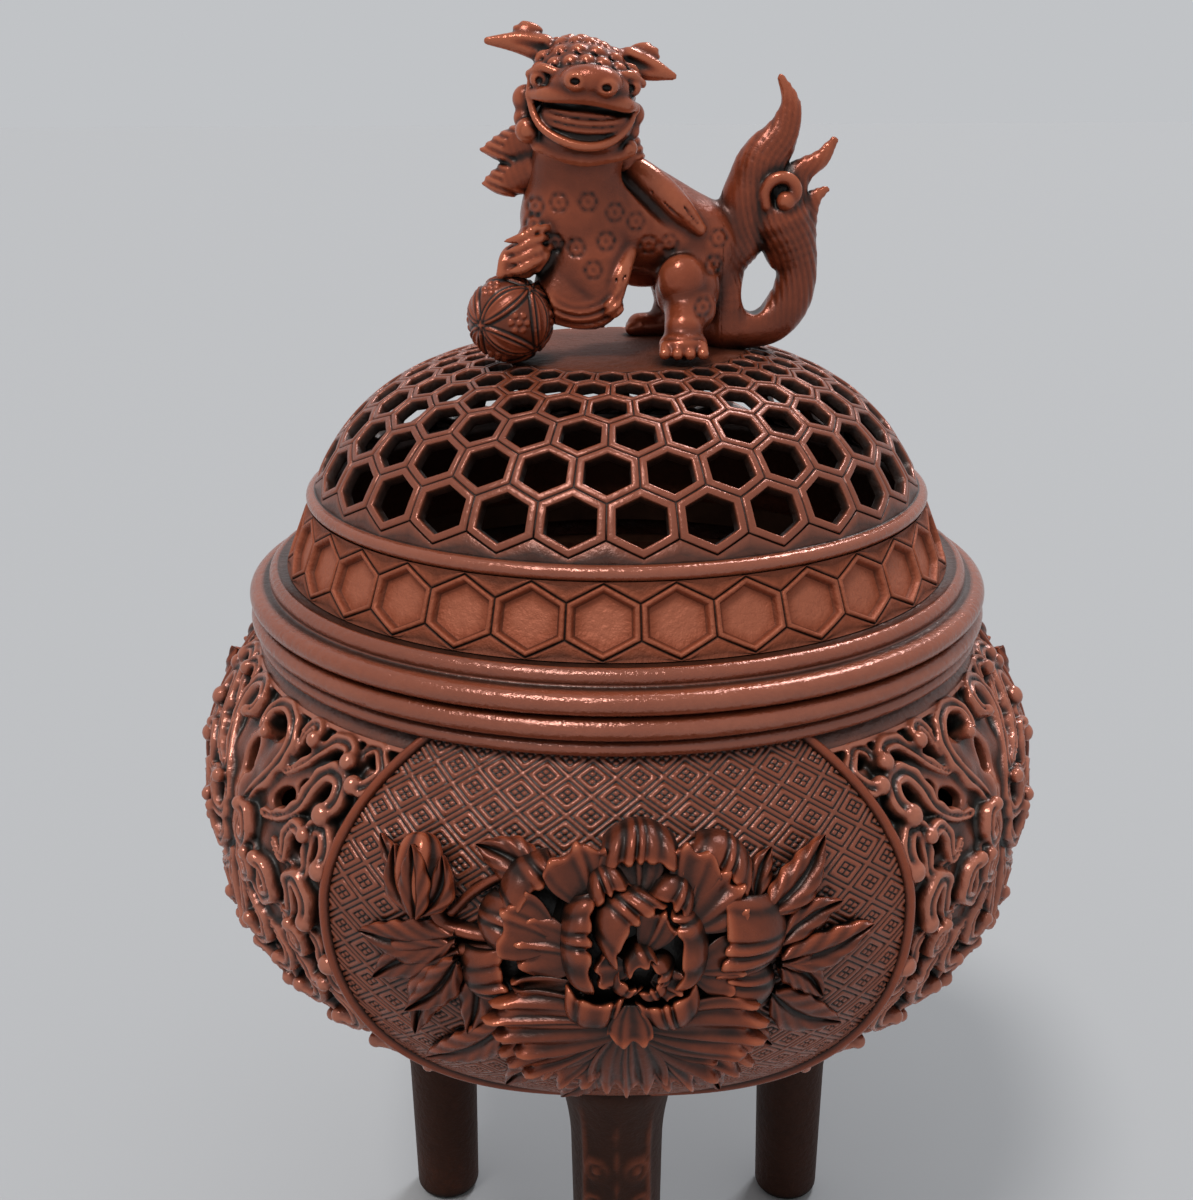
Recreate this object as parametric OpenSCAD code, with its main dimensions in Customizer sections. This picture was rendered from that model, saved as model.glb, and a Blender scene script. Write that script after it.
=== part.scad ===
// Lion incense burner: a tripod bronze censer with an openwork bowl,
// a lift-off honeycomb lid, a copper ash liner and a lion-dog knob.
// Millimetres, +Z up, front towards -Y, origin on the ground below the bowl's middle.

/* [Bowl] */
// Height of the bowl's underside above the ground
floor_h = 53; // [46:0.5:60]
// Largest radius of the bowl
belly_r = 55; // [52:0.5:60]
// Height from the underside up to the largest radius
low_h = 36.5; // [33:0.5:42]
// Height from the largest radius up to the neck bead
neck_h = 18.5; // [15:0.5:21]
// Height at which the upper curve would close over the axis
top_curve_h = 36.7; // [34:0.1:42]
// Roundness of the lower curve, 2 is an ellipse
low_power = 2.5; // [2:0.1:3]
// Roundness of the upper curve, 2 is an ellipse
top_power = 1.8; // [1.7:0.1:2.2]
// Wall of the bowl casting
wall = 3; // [2:0.1:4]
// Height of the rim above the neck bead's lower edge
rim_h = 4.5; // [3.8:0.1:6]
// Bore of the bowl's mouth
mouth_r = 42; // [38:0.1:46]
// Width of the rim, from the mouth's bore out to the rolled edge
rim_w = 5.6; // [4.6:0.1:7]
// How far the rolled edge stands out beyond the neck
rim_overhang = 2.2; // [1.6:0.1:3]
// Width of the inner ledge that carries the liner
ledge_w = 3.4; // [2.5:0.1:5]
// Depth of the ledge below the rim
ledge_depth = 7.5; // [6.5:0.1:9]
// Thickness of the ledge
ledge_t = 2; // [1.5:0.1:3]

/* [Medallions and openwork] */
// Radius of each round medallion, measured square to its middle
medallion_r = 31; // [28:0.5:33]
// Distance from the largest radius down to the medallion's middle
medallion_drop = 2.8; // [0:0.1:5]
// Width of the raised rib round a medallion
rib_w = 1.3; // [0.8:0.1:2]
// Height of the raised rib
rib_h = 0.7; // [0.4:0.1:1]
// Thickness of an openwork panel
panel_t = 3; // [2:0.1:4]
// Gap between a set-in piece and its seat
fit = 0.1; // [0.05:0.01:0.2]
// Size of the pierced eyes between the scrolls
eye_r = 2.1; // [1.5:0.1:2.6]

/* [Peony] */
// Reach of the flower's outer petals
flower_r = 12.5; // [10:0.5:15]
// Height of the flower above the bowl
flower_h = 7; // [5:0.5:9]
// Length of a leaf
leaf_l = 11; // [8:0.5:13]
// Radius of a rivet that holds the relief
rivet_r = 1; // [0.7:0.05:1.3]

/* [Legs] */
// Radius of the circle that the legs stand on
leg_circle_r = 32.6; // [28:0.5:35]
// Radius of a leg below its flared top
leg_top_r = 5.75; // [5:0.05:6.5]
// Radius of a leg just above its foot
leg_foot_r = 5; // [4.3:0.05:5.5]
// Extra radius of the flare where a leg meets the bowl
leg_flare = 1.6; // [0.8:0.1:2.5]
// Rounding of the foot
foot_round = 1.5; // [0.5:0.1:2.5]
// Radius of the screw that holds a leg
screw_r = 1.5; // [1.2:0.05:2]

/* [Liner] */
// Depth of the ash liner below its flange
liner_depth = 37; // [30:0.5:39]
// Sheet thickness of the liner
liner_t = 1.2; // [0.8:0.1:1.6]
// Running gap round the liner and the lid's locating ring
slip = 0.4; // [0.3:0.05:0.6]

/* [Lid] */
// Wall of the lid casting
lid_wall = 2.4; // [1.8:0.1:2.8]
// Height of the lid's rolled flange
flange_h = 2.7; // [2.2:0.1:3.4]
// Height of the stepped ring above the flange
step_h = 2; // [1.5:0.1:3]
// Inset of the honeycomb band's foot from the rim
band_inset = 5; // [4:0.1:6]
// Height of the blind honeycomb band
band_h = 7.8; // [7:0.1:8.6]
// Radius of the round bead above the band
bead_r = 0.8; // [0.6:0.05:1.1]
// Height of the lid's top above the rim
lid_h = 31.4; // [29:0.1:34]
// Step from the foot of the honeycomb band in to the dome's curve
dome_step = 0.6; // [0.3:0.1:1.5]
// Height of the dome's curve
dome_curve_h = 43; // [41:0.5:46]
// Roundness of the dome, 2 is an ellipse
dome_power = 3; // [2.6:0.1:3.2]
// Radius of the plain crown under the lion
crown_r = 15; // [14:0.5:17]
// Number of hexagons in one turn
hex_count = 32; // [28:1:36]
// Web left between two hexagons of the lowest row
hex_web = 1.7; // [1.3:0.1:2.2]
// Depth of the blind hexagons
blind_depth = 0.6; // [0.3:0.1:1]
// Depth of the locating ring below the lid's seat
ring_depth = 3.4; // [2.5:0.1:5]
// Width of the locating ring
ring_w = 2; // [1.5:0.1:3]

/* [Lion] */
// Height of the lion's crest above the lid's crown
lion_h = 36; // [32:0.5:40]
// Radius of the ball under the lion's paw
ball_r = 5.2; // [4.5:0.1:5.4]
// Radius of the tangs that hold the lion
tang_r = 1.2; // [1:0.05:1.5]
// Length of a tang below the crown
tang_l = 6.6; // [6:0.1:8]
// Thickness of a washer
washer_t = 0.6; // [0.4:0.1:1]
// Height of a nut
nut_h = 2.2; // [1.6:0.1:2.6]

/* [Hidden] */

$fn = 96;
third = 120;
belly_z = floor_h + low_h;
neck_z = belly_z + neck_h;
rim_z = neck_z + rim_h;
rim_r = mouth_r + rim_w;
neck_r = rim_r - rim_overhang;
ledge_z = rim_z - ledge_depth;
medallion_z = belly_z - medallion_drop;
rim_roll_r = 1.15;
neck_bead_r = 0.8;
seat_gap = 0.15;
seat_w = 3;
arc_steps = 16;
dome_steps = 8;
bronze = [0.43, 0.23, 0.19];
bronze_red = [0.5, 0.22, 0.16];
bronze_dark = [0.3, 0.17, 0.14];
copper = [0.55, 0.32, 0.22];

// Share of the upper curve's radius that is left at a height above the belly
function top_share(rise) = pow(1 - pow(rise / top_curve_h, top_power), 1 / top_power);

// Radius of the bowl's outside at a height: the upper curve runs from the belly to the neck
function bowl_r(z) = z < belly_z
    ? belly_r * pow(1 - pow((belly_z - z) / low_h, low_power), 1 / low_power)
    : neck_r + (belly_r - neck_r) * (top_share(z - belly_z) - top_share(neck_h)) / (1 - top_share(neck_h));

// A point of the lower curve, drawn in by an inset, from the axis at 90 to the belly at 0
function low_point(t, inset) = [
    (belly_r - inset) * pow(cos(t), 2 / low_power),
    belly_z - (low_h - inset) * pow(sin(t), 2 / low_power)
];

// A point of the upper curve, drawn in by an inset, at a share of its way from belly to neck
function top_point(share, inset) =
    let (z = belly_z + share * neck_h)
    [bowl_r(z) - inset, z];

// The bowl's outer curve from the axis to the neck
function bowl_curve(inset) = concat(
    [for (i = [0 : arc_steps]) low_point(90 - i * 90 / arc_steps, inset)],
    [for (i = [1 : arc_steps / 2]) top_point(i / (arc_steps / 2), inset)]
);

function backwards(list) = [for (i = [len(list) - 1 : -1 : 0]) list[i]];

// A place on the bowl: x along the surface from the middle of a medallion, height z, lift off the wall
function on_bowl(x, z, lift) =
    let (turn = x / bowl_r(z) * 180 / PI, r = bowl_r(z) + lift)
    [r * sin(turn), -r * cos(turn), z];

// The bowl as a filled solid, grown by a margin and closed above the neck
module bowl_filled(margin) {
    rotate_extrude()
        polygon(concat(bowl_curve(-margin), [[0, neck_z]]));
}

// A round bar along one medallion's axis, from the bowl's axis outwards
module medallion_bar(r) {
    translate([0, 0, medallion_z])
        rotate([90, 0, 0])
            cylinder(h = 2 * belly_r, r = r);
}

// The raised rib of the medallion that faces the front, grown by a gap
module medallion_rib(gap) {
    intersection() {
        difference() {
            bowl_filled(rib_h + gap);
            bowl_filled(-wall / 2);
        }
        difference() {
            medallion_bar(medallion_r + gap);
            medallion_bar(medallion_r - rib_w - gap);
        }
    }
}

// The space of one openwork panel, facing the front: between two medallions, floor and neck
panel_low_z = floor_h + 5.5;
panel_high_z = neck_z - 1.5;
module panel_space(gap) {
    difference() {
        rotate([0, 0, -90 - third / 2 + gap])
            rotate_extrude(angle = third - 2 * gap)
                translate([belly_r / 2, panel_low_z + gap])
                    square([belly_r, panel_high_z - panel_low_z - 2 * gap]);
        for (side = [-1, 1])
            rotate([0, 0, side * third / 2])
                medallion_bar(medallion_r + gap);
    }
}

// Legs stand under the medallions
leg_seat_z = floor_h + 9.5;
screw_head_r = 3;
screw_head_h = 1.8;
screw_l = 16;
module at_leg(turn) {
    rotate([0, 0, turn])
        translate([0, -leg_circle_r, 0])
            children();
}

rivet_places = [-5, 2, 9];
rivet_z = belly_z - 1;
rivet_head_r = 2;
rivet_head_t = 0.8;
rivet_reach = 1.2;
// Turn of each medallion, with -1 where its relief is mirrored
medallions = [[0, 1], [third, -1], [-third, 1]];
module at_rivets() {
    for (place = medallions, x = rivet_places)
        rotate([0, 0, place[0] + place[1] * x / belly_r * 180 / PI])
            translate([0, 0, rivet_z])
                rotate([90, 0, 0])
                    children();
}

module vessel_bowl() {
    color(bronze)
    difference() {
        union() {
            difference() {
                rotate_extrude() {
                    polygon(concat(bowl_curve(0), backwards(bowl_curve(wall))));
                    translate([mouth_r, ledge_z - ledge_t])
                        square([rim_r - rim_roll_r - mouth_r, ledge_depth + ledge_t]);
                    translate([mouth_r - ledge_w, ledge_z - ledge_t])
                        square([ledge_w + wall, ledge_t]);
                    translate([rim_r - rim_roll_r, rim_z - seat_gap - rim_roll_r])
                        circle(rim_roll_r);
                    translate([rim_r - rim_roll_r - 0.3, neck_z + neck_bead_r])
                        circle(neck_bead_r);
                }
                for (turn = [third / 2, -third / 2, 180])
                    rotate([0, 0, turn])
                        panel_space(0);
            }
            for (turn = [0, third, -third])
                rotate([0, 0, turn])
                    medallion_rib(0);
            for (turn = [0, third, -third])
                intersection() {
                    bowl_filled(0);
                    at_leg(turn)
                        cylinder(h = leg_seat_z, r = screw_head_r + 1.5);
                }
        }
        for (turn = [0, third, -third])
            at_leg(turn)
                cylinder(h = leg_seat_z + 1, r = screw_r + fit);
        at_rivets() {
            translate([0, 0, belly_r / 2])
                cylinder(h = belly_r, r = rivet_r + fit);
            translate([0, 0, belly_r / 2])
                cylinder(h = belly_r / 2 - wall, r = rivet_head_r + 2 * fit);
        }
    }
}

// One openwork panel, facing the front: a curved plate pierced between its scrolls
eye_rows = 6;
eye_pitch = 7.2;
module openwork_panel() {
    color(bronze_dark)
    difference() {
        intersection() {
            rotate_extrude()
                polygon(concat(bowl_curve(0), backwards(bowl_curve(panel_t))));
            panel_space(fit);
        }
        for (row = [0 : eye_rows - 1])
            let (z = panel_low_z + 6 + row * (panel_high_z - panel_low_z - 11) / (eye_rows - 1),
                 half = third / 2 - asin(sqrt(pow(medallion_r, 2) - pow(z - medallion_z, 2)) / bowl_r(z)),
                 room = half * PI / 180 * bowl_r(z) - eye_r - 2,
                 count = floor(room / eye_pitch))
                for (i = [-count : count])
                    rotate([0, 0, i * eye_pitch / bowl_r(z) * 180 / PI])
                        translate([0, 0, z])
                            rotate([90, 0, 0])
                                translate([0, 0, belly_r / 2])
                                    cylinder(h = belly_r, r = eye_r, $fn = 6);
    }
}

// Extrudes an outline outwards through the bowl's wall, up to a height above the belly
module raised(x, z, lift) {
    rotate([0, 0, x / belly_r * 180 / PI])
        translate([0, 0, z])
            rotate([90, 0, 0])
                translate([0, 0, belly_r * 0.7])
                    linear_extrude(height = belly_r * 0.3 + lift)
                        children();
}

// A ring of petals with a scalloped edge
petal_points = 6;
module rosette(r, petals) {
    polygon([
        for (i = [0 : petals * petal_points - 1])
            let (a = i * 360 / (petals * petal_points), reach = r * (0.84 + 0.16 * abs(sin(a * petals / 2))))
                [reach * cos(a), reach * sin(a)]
    ]);
}

// Half of a toothed leaf, as shares of its length
leaf_half = [[0, 0.1], [0.25, 0.27], [0.42, 0.2], [0.6, 0.26], [0.72, 0.15], [1, 0]];
module leaf_outline() {
    half = [for (p = leaf_half) leaf_l * p];
    polygon(concat(half, [for (p = backwards(half)) [p[0], -p[1]]]));
}

flower_x = 2;
flower_z = belly_z + 2;
flower_rings = 4;
leaf_lift = 1.5;
// Leaves beside the flower: direction, and the root counted from the flower's middle
// as shares of the flower's reach
leaves = [
    [130, [-0.68, 0.12]], [172, [-1.3, 0]], [190, [-0.98, -0.28]], [207, [-0.93, -0.38]],
    [228, [-0.84, -0.44]], [45, [0.8, 0.16]], [10, [0.96, 0]], [-40, [0.72, -0.25]]
];
bud_place = flower_r * [-1.7, 0.45];
bud_r = 2.8;
stem_w = 1.6;
module peony(side = 1) {
    bud_x = side * (flower_x + bud_place[0]);
    bud_z = flower_z + bud_place[1];
    color(bronze_red)
    difference() {
        union() {
            for (ring = [0 : flower_rings - 1])
                raised(side * flower_x, flower_z, 1.6 + ring * (flower_h - 1.6) / (flower_rings - 1))
                    rosette(flower_r * (1 - 0.22 * ring), 11 - 2 * ring);
            for (leaf = leaves)
                raised(side * (flower_x + flower_r * leaf[1][0]), flower_z + flower_r * leaf[1][1], leaf_lift)
                    rotate(side > 0 ? leaf[0] : 180 - leaf[0])
                        leaf_outline();
            translate(on_bowl(bud_x, bud_z, 1.4))
                sphere(bud_r);
            raised(bud_x, bud_z, leaf_lift)
                rotate(atan2(-bud_place[1], -side * bud_place[0]))
                    translate([0, -stem_w / 2])
                        square([norm(bud_place), stem_w]);
        }
        bowl_filled(fit);
        for (x = rivet_places)
            rotate([0, 0, side * x / belly_r * 180 / PI])
                translate([0, 0, rivet_z])
                    rotate([90, 0, 0])
                        cylinder(h = belly_r + rivet_reach + 0.3, r = rivet_r + fit);
    }
}

module peony_rivets() {
    color(bronze_dark)
    at_rivets() {
        translate([0, 0, belly_r - wall - rivet_head_t - fit])
            cylinder(h = rivet_head_t, r = rivet_head_r);
        translate([0, 0, belly_r - wall - rivet_head_t / 2])
            cylinder(h = wall + rivet_head_t / 2 + rivet_reach, r = rivet_r);
    }
}

// One leg on the axis: rounded foot, slight taper, flared top cut to the bowl's underside
flare_z = floor_h - 4;
module leg(turn) {
    color(bronze)
    difference() {
        at_leg(turn)
            rotate_extrude() {
                polygon([
                    [0, 0], [leg_foot_r - foot_round, 0], [leg_foot_r, foot_round],
                    [leg_top_r, flare_z], [leg_top_r + leg_flare / 3, flare_z + 3.5],
                    [leg_top_r + leg_flare, flare_z + 8], [leg_top_r + leg_flare, leg_seat_z], [0, leg_seat_z]
                ]);
                translate([leg_foot_r - foot_round, foot_round])
                    circle(foot_round);
            }
        bowl_filled(fit);
        rotate([0, 0, turn])
            medallion_rib(fit);
        at_leg(turn)
            translate([0, 0, leg_seat_z - screw_l - 1])
                cylinder(h = screw_l + 2, r = screw_r + fit);
    }
}

module leg_screws() {
    color(bronze_dark)
    for (turn = [0, third, -third])
        at_leg(turn) {
            translate([0, 0, leg_seat_z - screw_l])
                cylinder(h = screw_l + screw_head_h / 2, r = screw_r);
            translate([0, 0, leg_seat_z])
                cylinder(h = screw_head_h, r = screw_head_r);
        }
}

// A sheet pot that hangs by its flange on the ledge: a flanged wall soldered onto a flat floor
liner_r = mouth_r - ledge_w - slip;
liner_low_z = ledge_z - liner_depth;
module ash_liner() {
    color(copper)
    rotate_extrude() {
        translate([liner_r - liner_t, liner_low_z + liner_t])
            square([liner_t, liner_depth]);
        translate([liner_r - liner_t / 2, ledge_z])
            square([mouth_r - slip - liner_r + liner_t / 2, liner_t]);
    }
}
module liner_floor() {
    color(copper)
    translate([0, 0, liner_low_z])
        cylinder(h = liner_t, r = liner_r);
}

// Lid heights, counted up from the seat on the rim
lid_top_z = rim_z + lid_h;
flange_z = rim_z + flange_h;
band_low_z = flange_z + step_h;
band_high_z = band_low_z + band_h;
bead_z = band_high_z + bead_r;
band_low_r = rim_r - band_inset;
dome_r = band_low_r - dome_step;
dome_low_z = lid_top_z - dome_curve_h;
function dome_height(r) = dome_low_z + dome_curve_h * pow(1 - pow(r / dome_r, dome_power), 1 / dome_power);
function dome_radius(z) = dome_r * pow(1 - pow((z - dome_low_z) / dome_curve_h, dome_power), 1 / dome_power);
function dome_point(t) = [
    dome_r * pow(cos(t), 2 / dome_power),
    dome_low_z + dome_curve_h * pow(sin(t), 2 / dome_power)
];
function dome_turn(z) = asin(pow((z - dome_low_z) / dome_curve_h, dome_power / 2));
function dome_slope(t) =
    let (step = dome_point(t + 0.1) - dome_point(t - 0.1))
    atan2(-step[0], step[1]);
dome_start = dome_turn(bead_z);
dome_end = asin(pow((dome_height(crown_r) - dome_low_z) / dome_curve_h, dome_power / 2));
dome_curve = [for (i = [0 : dome_steps]) dome_point(dome_start + i * (dome_end - dome_start) / dome_steps)];
crown_low_z = dome_height(crown_r) - lid_wall;

// Rows of hexagons climb the dome by the height of a cell that shrinks with the radius
function cell_w(t) = 2 * PI * dome_point(t)[0] / hex_count;
function climb(t, left) = left <= 0 ? t : climb(t + 0.2, left - norm(dome_point(t + 0.2) - dome_point(t)));
function hex_rows(t) = dome_point(t)[0] < crown_r + 0.62 * cell_w(t)
    ? []
    : concat([t], hex_rows(climb(t, 0.82 * cell_w(t))));
rows = hex_rows(climb(dome_start, 0.64 * cell_w(dome_start) + bead_r / 2));
web_share = hex_web / cell_w(dome_start);

module hexagon_cut(r, z, lean, turn, size, depth) {
    rotate([0, 0, turn - 90])
        translate([r, 0, z])
            rotate([0, 90 - lean, 0])
                translate([0, 0, -depth])
                    cylinder(h = depth + 2, r = size, $fn = 6);
}

// The lion's places are written for a lion of this height, and grow with it
drawn_lion_h = 36;
lion_unit = lion_h / drawn_lion_h;
// Tangs go down from the two hind paws and from the tail's root
lion_feet = lion_unit * [[8, -10.5], [5, 8], [13.2, 2]];
module tang(foot) {
    translate([foot[0], foot[1], -tang_l])
        cylinder(h = tang_l + 2, r = tang_r, $fn = 16);
}
module at_lion_feet(z) {
    for (foot = lion_feet)
        translate([foot[0], foot[1], z])
            children();
}

module lid_dome() {
    inner_curve = [for (p = dome_curve) [p[0] - lid_wall, min(p[1], crown_low_z)]];
    color(bronze)
    difference() {
        rotate_extrude() {
            polygon(concat(
                [[rim_r - rim_roll_r - seat_w, rim_z], [rim_r - rim_roll_r, rim_z + seat_gap + rim_roll_r],
                 [rim_r - 2.6, flange_z], [rim_r - 3, flange_z + step_h * 0.55],
                 [band_low_r + 0.5, band_low_z - 0.5], [band_low_r, band_low_z],
                 [dome_radius(bead_z) + 0.3, band_high_z]],
                dome_curve,
                [[0, lid_top_z], [0, crown_low_z]],
                backwards(inner_curve),
                [[dome_radius(bead_z) - lid_wall, band_low_z], [mouth_r - slip - ring_w, flange_z],
                 [mouth_r - slip - ring_w, rim_z]]
            ));
            translate([rim_r - rim_roll_r, rim_z + seat_gap + rim_roll_r])
                circle(rim_roll_r);
            translate([dome_radius(bead_z) - 0.2, bead_z])
                circle(bead_r);
        }
        for (row = [0 : len(rows) - 1], i = [0 : hex_count - 1])
            let (p = dome_point(rows[row]), w = cell_w(rows[row]))
                hexagon_cut(p[0], p[1], dome_slope(rows[row]), (i + (row % 2) / 2) * 360 / hex_count,
                    w * (1 - web_share) / sqrt(3), lid_wall + 2);
        for (i = [0 : hex_count - 1])
            let (r = (band_low_r + dome_radius(bead_z)) / 2, z = (band_low_z + band_high_z) / 2)
                hexagon_cut(r + 0.15, z, atan2(band_low_r - dome_radius(bead_z), band_h), (i + 0.5) * 360 / hex_count,
                    (band_h - 0.4) / 2, blind_depth);
        at_lion_feet(crown_low_z - 1)
            cylinder(h = lid_wall + 4, r = tang_r + fit);
    }
}

module lid_locating_ring() {
    color(bronze_dark)
    translate([0, 0, rim_z - ring_depth])
        difference() {
            cylinder(h = ring_depth, r = mouth_r - slip);
            translate([0, 0, -1])
                cylinder(h = ring_depth + 2, r = mouth_r - slip - ring_w);
        }
}

// A limb: a tapered round bar between two places of the lion, each with its own radius
module limb(a, ra, b, rb) {
    hull() {
        translate(lion_unit * a)
            sphere(lion_unit * ra, $fn = 10);
        translate(lion_unit * b)
            sphere(lion_unit * rb, $fn = 10);
    }
}

// The lion stands on the crown; its places are counted from the middle of the crown's top
ball_gap = 0.25;
ball_xy = lion_unit * [-12.5, -10.8];
ball_place = [ball_xy[0], ball_xy[1], dome_height(norm(ball_xy)) - lid_top_z + ball_r + ball_gap];
neck_cut = [-4.5, -4, 20.5];
neck_lean = 20;
rump_cut_x = 12.6;
chest = [-4.5, -5, 18];
chest_r = 6.6;
nape = [-4.6, -6, 27];
nape_r = 6;
rump = [9, -1, 12];
rump_r = 4;
tail_root = [17, 0, 14.5];
tail_root_r = 3.2;
module on_crown() {
    translate([0, 0, lid_top_z])
        children();
}
module lion_mass() {
    limb([-4.5, -5, 14.5], 7.4, [3, -3, 14.8], 6.2);
    limb([3, -3, 14.8], 6.2, [9.5, -1, 11.8], 5.4);
    limb(chest, chest_r, nape, nape_r);
    limb([-7.5, -7, 14], 3.6, [-10.8, -9, 12.2], 2.4);
    limb([-10.8, -9, 12.2], 2.4, [-11.6, -11, 10.6], 2.2);
    limb([-2.5, -7, 12], 4, [-1.9, -9, 6], 2.8);
    limb([-1.9, -9, 5.8], 2.7, [-6.2, -9.6, 5.2], 2.1);
    limb([9, -5, 9.5], 4.6, [8.6, -7.5, 4], 3);
    limb([8.6, -7.5, 4], 2.8, [8, -11, 2], 2);
    limb([8, 3, 9], 4.2, [6, 6, 4], 2.6);
    limb([6, 6, 4], 2.4, [5, 8, 2], 2);
    limb(rump, rump_r, tail_root, tail_root_r);
}
module lion_head_mass() {
    limb(chest, chest_r, nape, nape_r);
    limb([-4.2, -7, 30], 6.2, [-3.6, -9.6, 29.6], 6);
    limb([-4.6, -13, 31.2], 2.6, [-1.6, -13, 31], 2.6);
    limb([-6.4, -11, 25.6], 2.8, [-0.8, -11, 25.4], 2.8);
    limb([-8.4, -3.4, 26], 5, [0.2, -3.4, 26], 5);
    limb([-8.6, -6.2, 34], 1.9, [-14.8, -6.2, 35.2], 0.8);
    limb([1, -6.4, 33.4], 1.9, [6.6, -7, 32.6], 0.8);
    limb([-9.4, -5, 24.4], 2.6, [-15.4, -4, 22.4], 0.9);
    limb([-9, -5, 21.4], 2.6, [-14.8, -4, 18.8], 0.9);
}
// The half space above the neck joint, which leans forward
module above_neck() {
    translate(lion_unit * neck_cut)
        rotate([neck_lean, 0, 0])
            translate([-lion_h, -lion_h, 0])
                cube([2 * lion_h, 2 * lion_h, 2 * lion_h]);
}
module behind_rump() {
    translate([lion_unit * rump_cut_x, -lion_h, -lion_h])
        cube([2 * lion_h, 2 * lion_h, 3 * lion_h]);
}
module lion_body() {
    color(bronze)
    on_crown()
        difference() {
            union() {
                lion_mass();
                tang(lion_feet[0]);
                tang(lion_feet[1]);
            }
            above_neck();
            behind_rump();
            translate(ball_place)
                sphere(ball_r + fit, $fn = 48);
        }
}
module lion_head() {
    color(bronze)
    on_crown()
        intersection() {
            lion_head_mass();
            above_neck();
        }
}
module lion_tail() {
    color(bronze_red)
    on_crown() {
        intersection() {
            union() {
                limb(rump, rump_r, tail_root, tail_root_r);
                limb([13.9, 1.4, 2], 1.6, [19, 0.5, 3.4], 2);
                limb([19, 0.5, 3.4], 2, [22, 0, 9], 2.4);
                limb([22, 0, 9], 2.4, [19.5, 0, 15.5], 3.6);
                limb([17, 0, 14], 3.2, [18.5, 0, 22], 3.2);
                limb([18.5, 0, 21], 3.2, [20.6, 0, 31], 0.7);
                limb([20.5, 0, 16], 3, [26.2, 0, 23.4], 0.7);
                limb([21.5, 0, 13], 2.6, [25, 0, 17.8], 0.9);
            }
            behind_rump();
        }
        tang(lion_feet[2]);
    }
}

module brocade_ball() {
    color(bronze_red)
    on_crown()
        translate(ball_place)
            sphere(ball_r);
}

module lion_washers() {
    color(bronze_dark)
    at_lion_feet(crown_low_z - washer_t)
        difference() {
            cylinder(h = washer_t, r = 2.4 * tang_r);
            translate([0, 0, -1])
                cylinder(h = washer_t + 2, r = tang_r + fit);
        }
}

module lion_nuts() {
    color(bronze_dark)
    at_lion_feet(crown_low_z - washer_t - nut_h)
        difference() {
            cylinder(h = nut_h, r = 2.2 * tang_r, $fn = 6);
            translate([0, 0, -1])
                cylinder(h = nut_h + 2, r = tang_r + fit);
        }
}

vessel_bowl();
rotate([0, 0, -third / 2]) openwork_panel();  // openwork_panel_left
rotate([0, 0, third / 2]) openwork_panel();  // openwork_panel_right
rotate([0, 0, 180]) openwork_panel();  // openwork_panel_back
peony();  // peony_front
rotate([0, 0, -third]) peony();  // peony_back_left
rotate([0, 0, third]) peony(-1);  // peony_back_right
peony_rivets();
leg(0);  // leg_front
leg(-third);  // leg_back_left
leg(third);  // leg_back_right
leg_screws();
ash_liner();
liner_floor();
lid_dome();
lid_locating_ring();
lion_body();
lion_head();
lion_tail();
brocade_ball();
lion_washers();
lion_nuts();
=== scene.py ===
"""Looks of the lion incense burner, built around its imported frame.

Lengths here are millimetres, and become metres when a mesh is made. The front is -Y, and an
angle called turn is measured from the front, positive towards +X.
"""
import math

import bpy
import numpy as np
import openvdb
from mathutils import Matrix, Vector


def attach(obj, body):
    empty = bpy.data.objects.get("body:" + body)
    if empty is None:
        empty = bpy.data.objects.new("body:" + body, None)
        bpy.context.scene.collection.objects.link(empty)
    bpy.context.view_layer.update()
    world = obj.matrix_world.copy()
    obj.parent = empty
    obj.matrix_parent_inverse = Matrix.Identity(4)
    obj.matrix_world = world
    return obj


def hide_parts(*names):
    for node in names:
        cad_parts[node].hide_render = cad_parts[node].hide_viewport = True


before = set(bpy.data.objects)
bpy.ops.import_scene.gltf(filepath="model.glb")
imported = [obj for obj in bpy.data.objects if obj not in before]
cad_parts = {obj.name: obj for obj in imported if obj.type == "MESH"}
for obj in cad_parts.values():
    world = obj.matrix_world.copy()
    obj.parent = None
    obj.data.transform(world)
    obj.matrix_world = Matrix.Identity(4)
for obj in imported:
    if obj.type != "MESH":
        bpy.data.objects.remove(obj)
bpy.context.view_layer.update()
MM = 0.001
WELD_STEP = 0.004
THIRD = 2 * math.pi / 3

# Sizes, the same as in the solids
FLOOR_H = 53.0
BELLY_R = 55.0
LOW_H = 36.5
NECK_H = 18.5
TOP_CURVE_H = 36.7
LOW_POWER = 2.5
TOP_POWER = 1.8
WALL = 3.0
RIM_H = 4.5
MOUTH_R = 42.0
RIM_W = 5.6
RIM_OVERHANG = 2.2
LEDGE_W = 3.4
LEDGE_DEPTH = 7.5
LEDGE_T = 2.0
LEG_CIRCLE_R = 32.6
LEG_TOP_R = 5.75
LEG_FOOT_R = 5.0
LEG_FLARE = 1.6
FOOT_ROUND = 1.5
LID_H = 31.4
LID_WALL = 2.4
FLANGE_H = 2.7
STEP_H = 2.0
BAND_H = 7.8
BAND_INSET = 5.0
BEAD_R = 0.8
DOME_R = 42.0
DOME_CURVE_H = 43.0
DOME_POWER = 3.0
CROWN_R = 15.0
HEX_COUNT = 32

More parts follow.
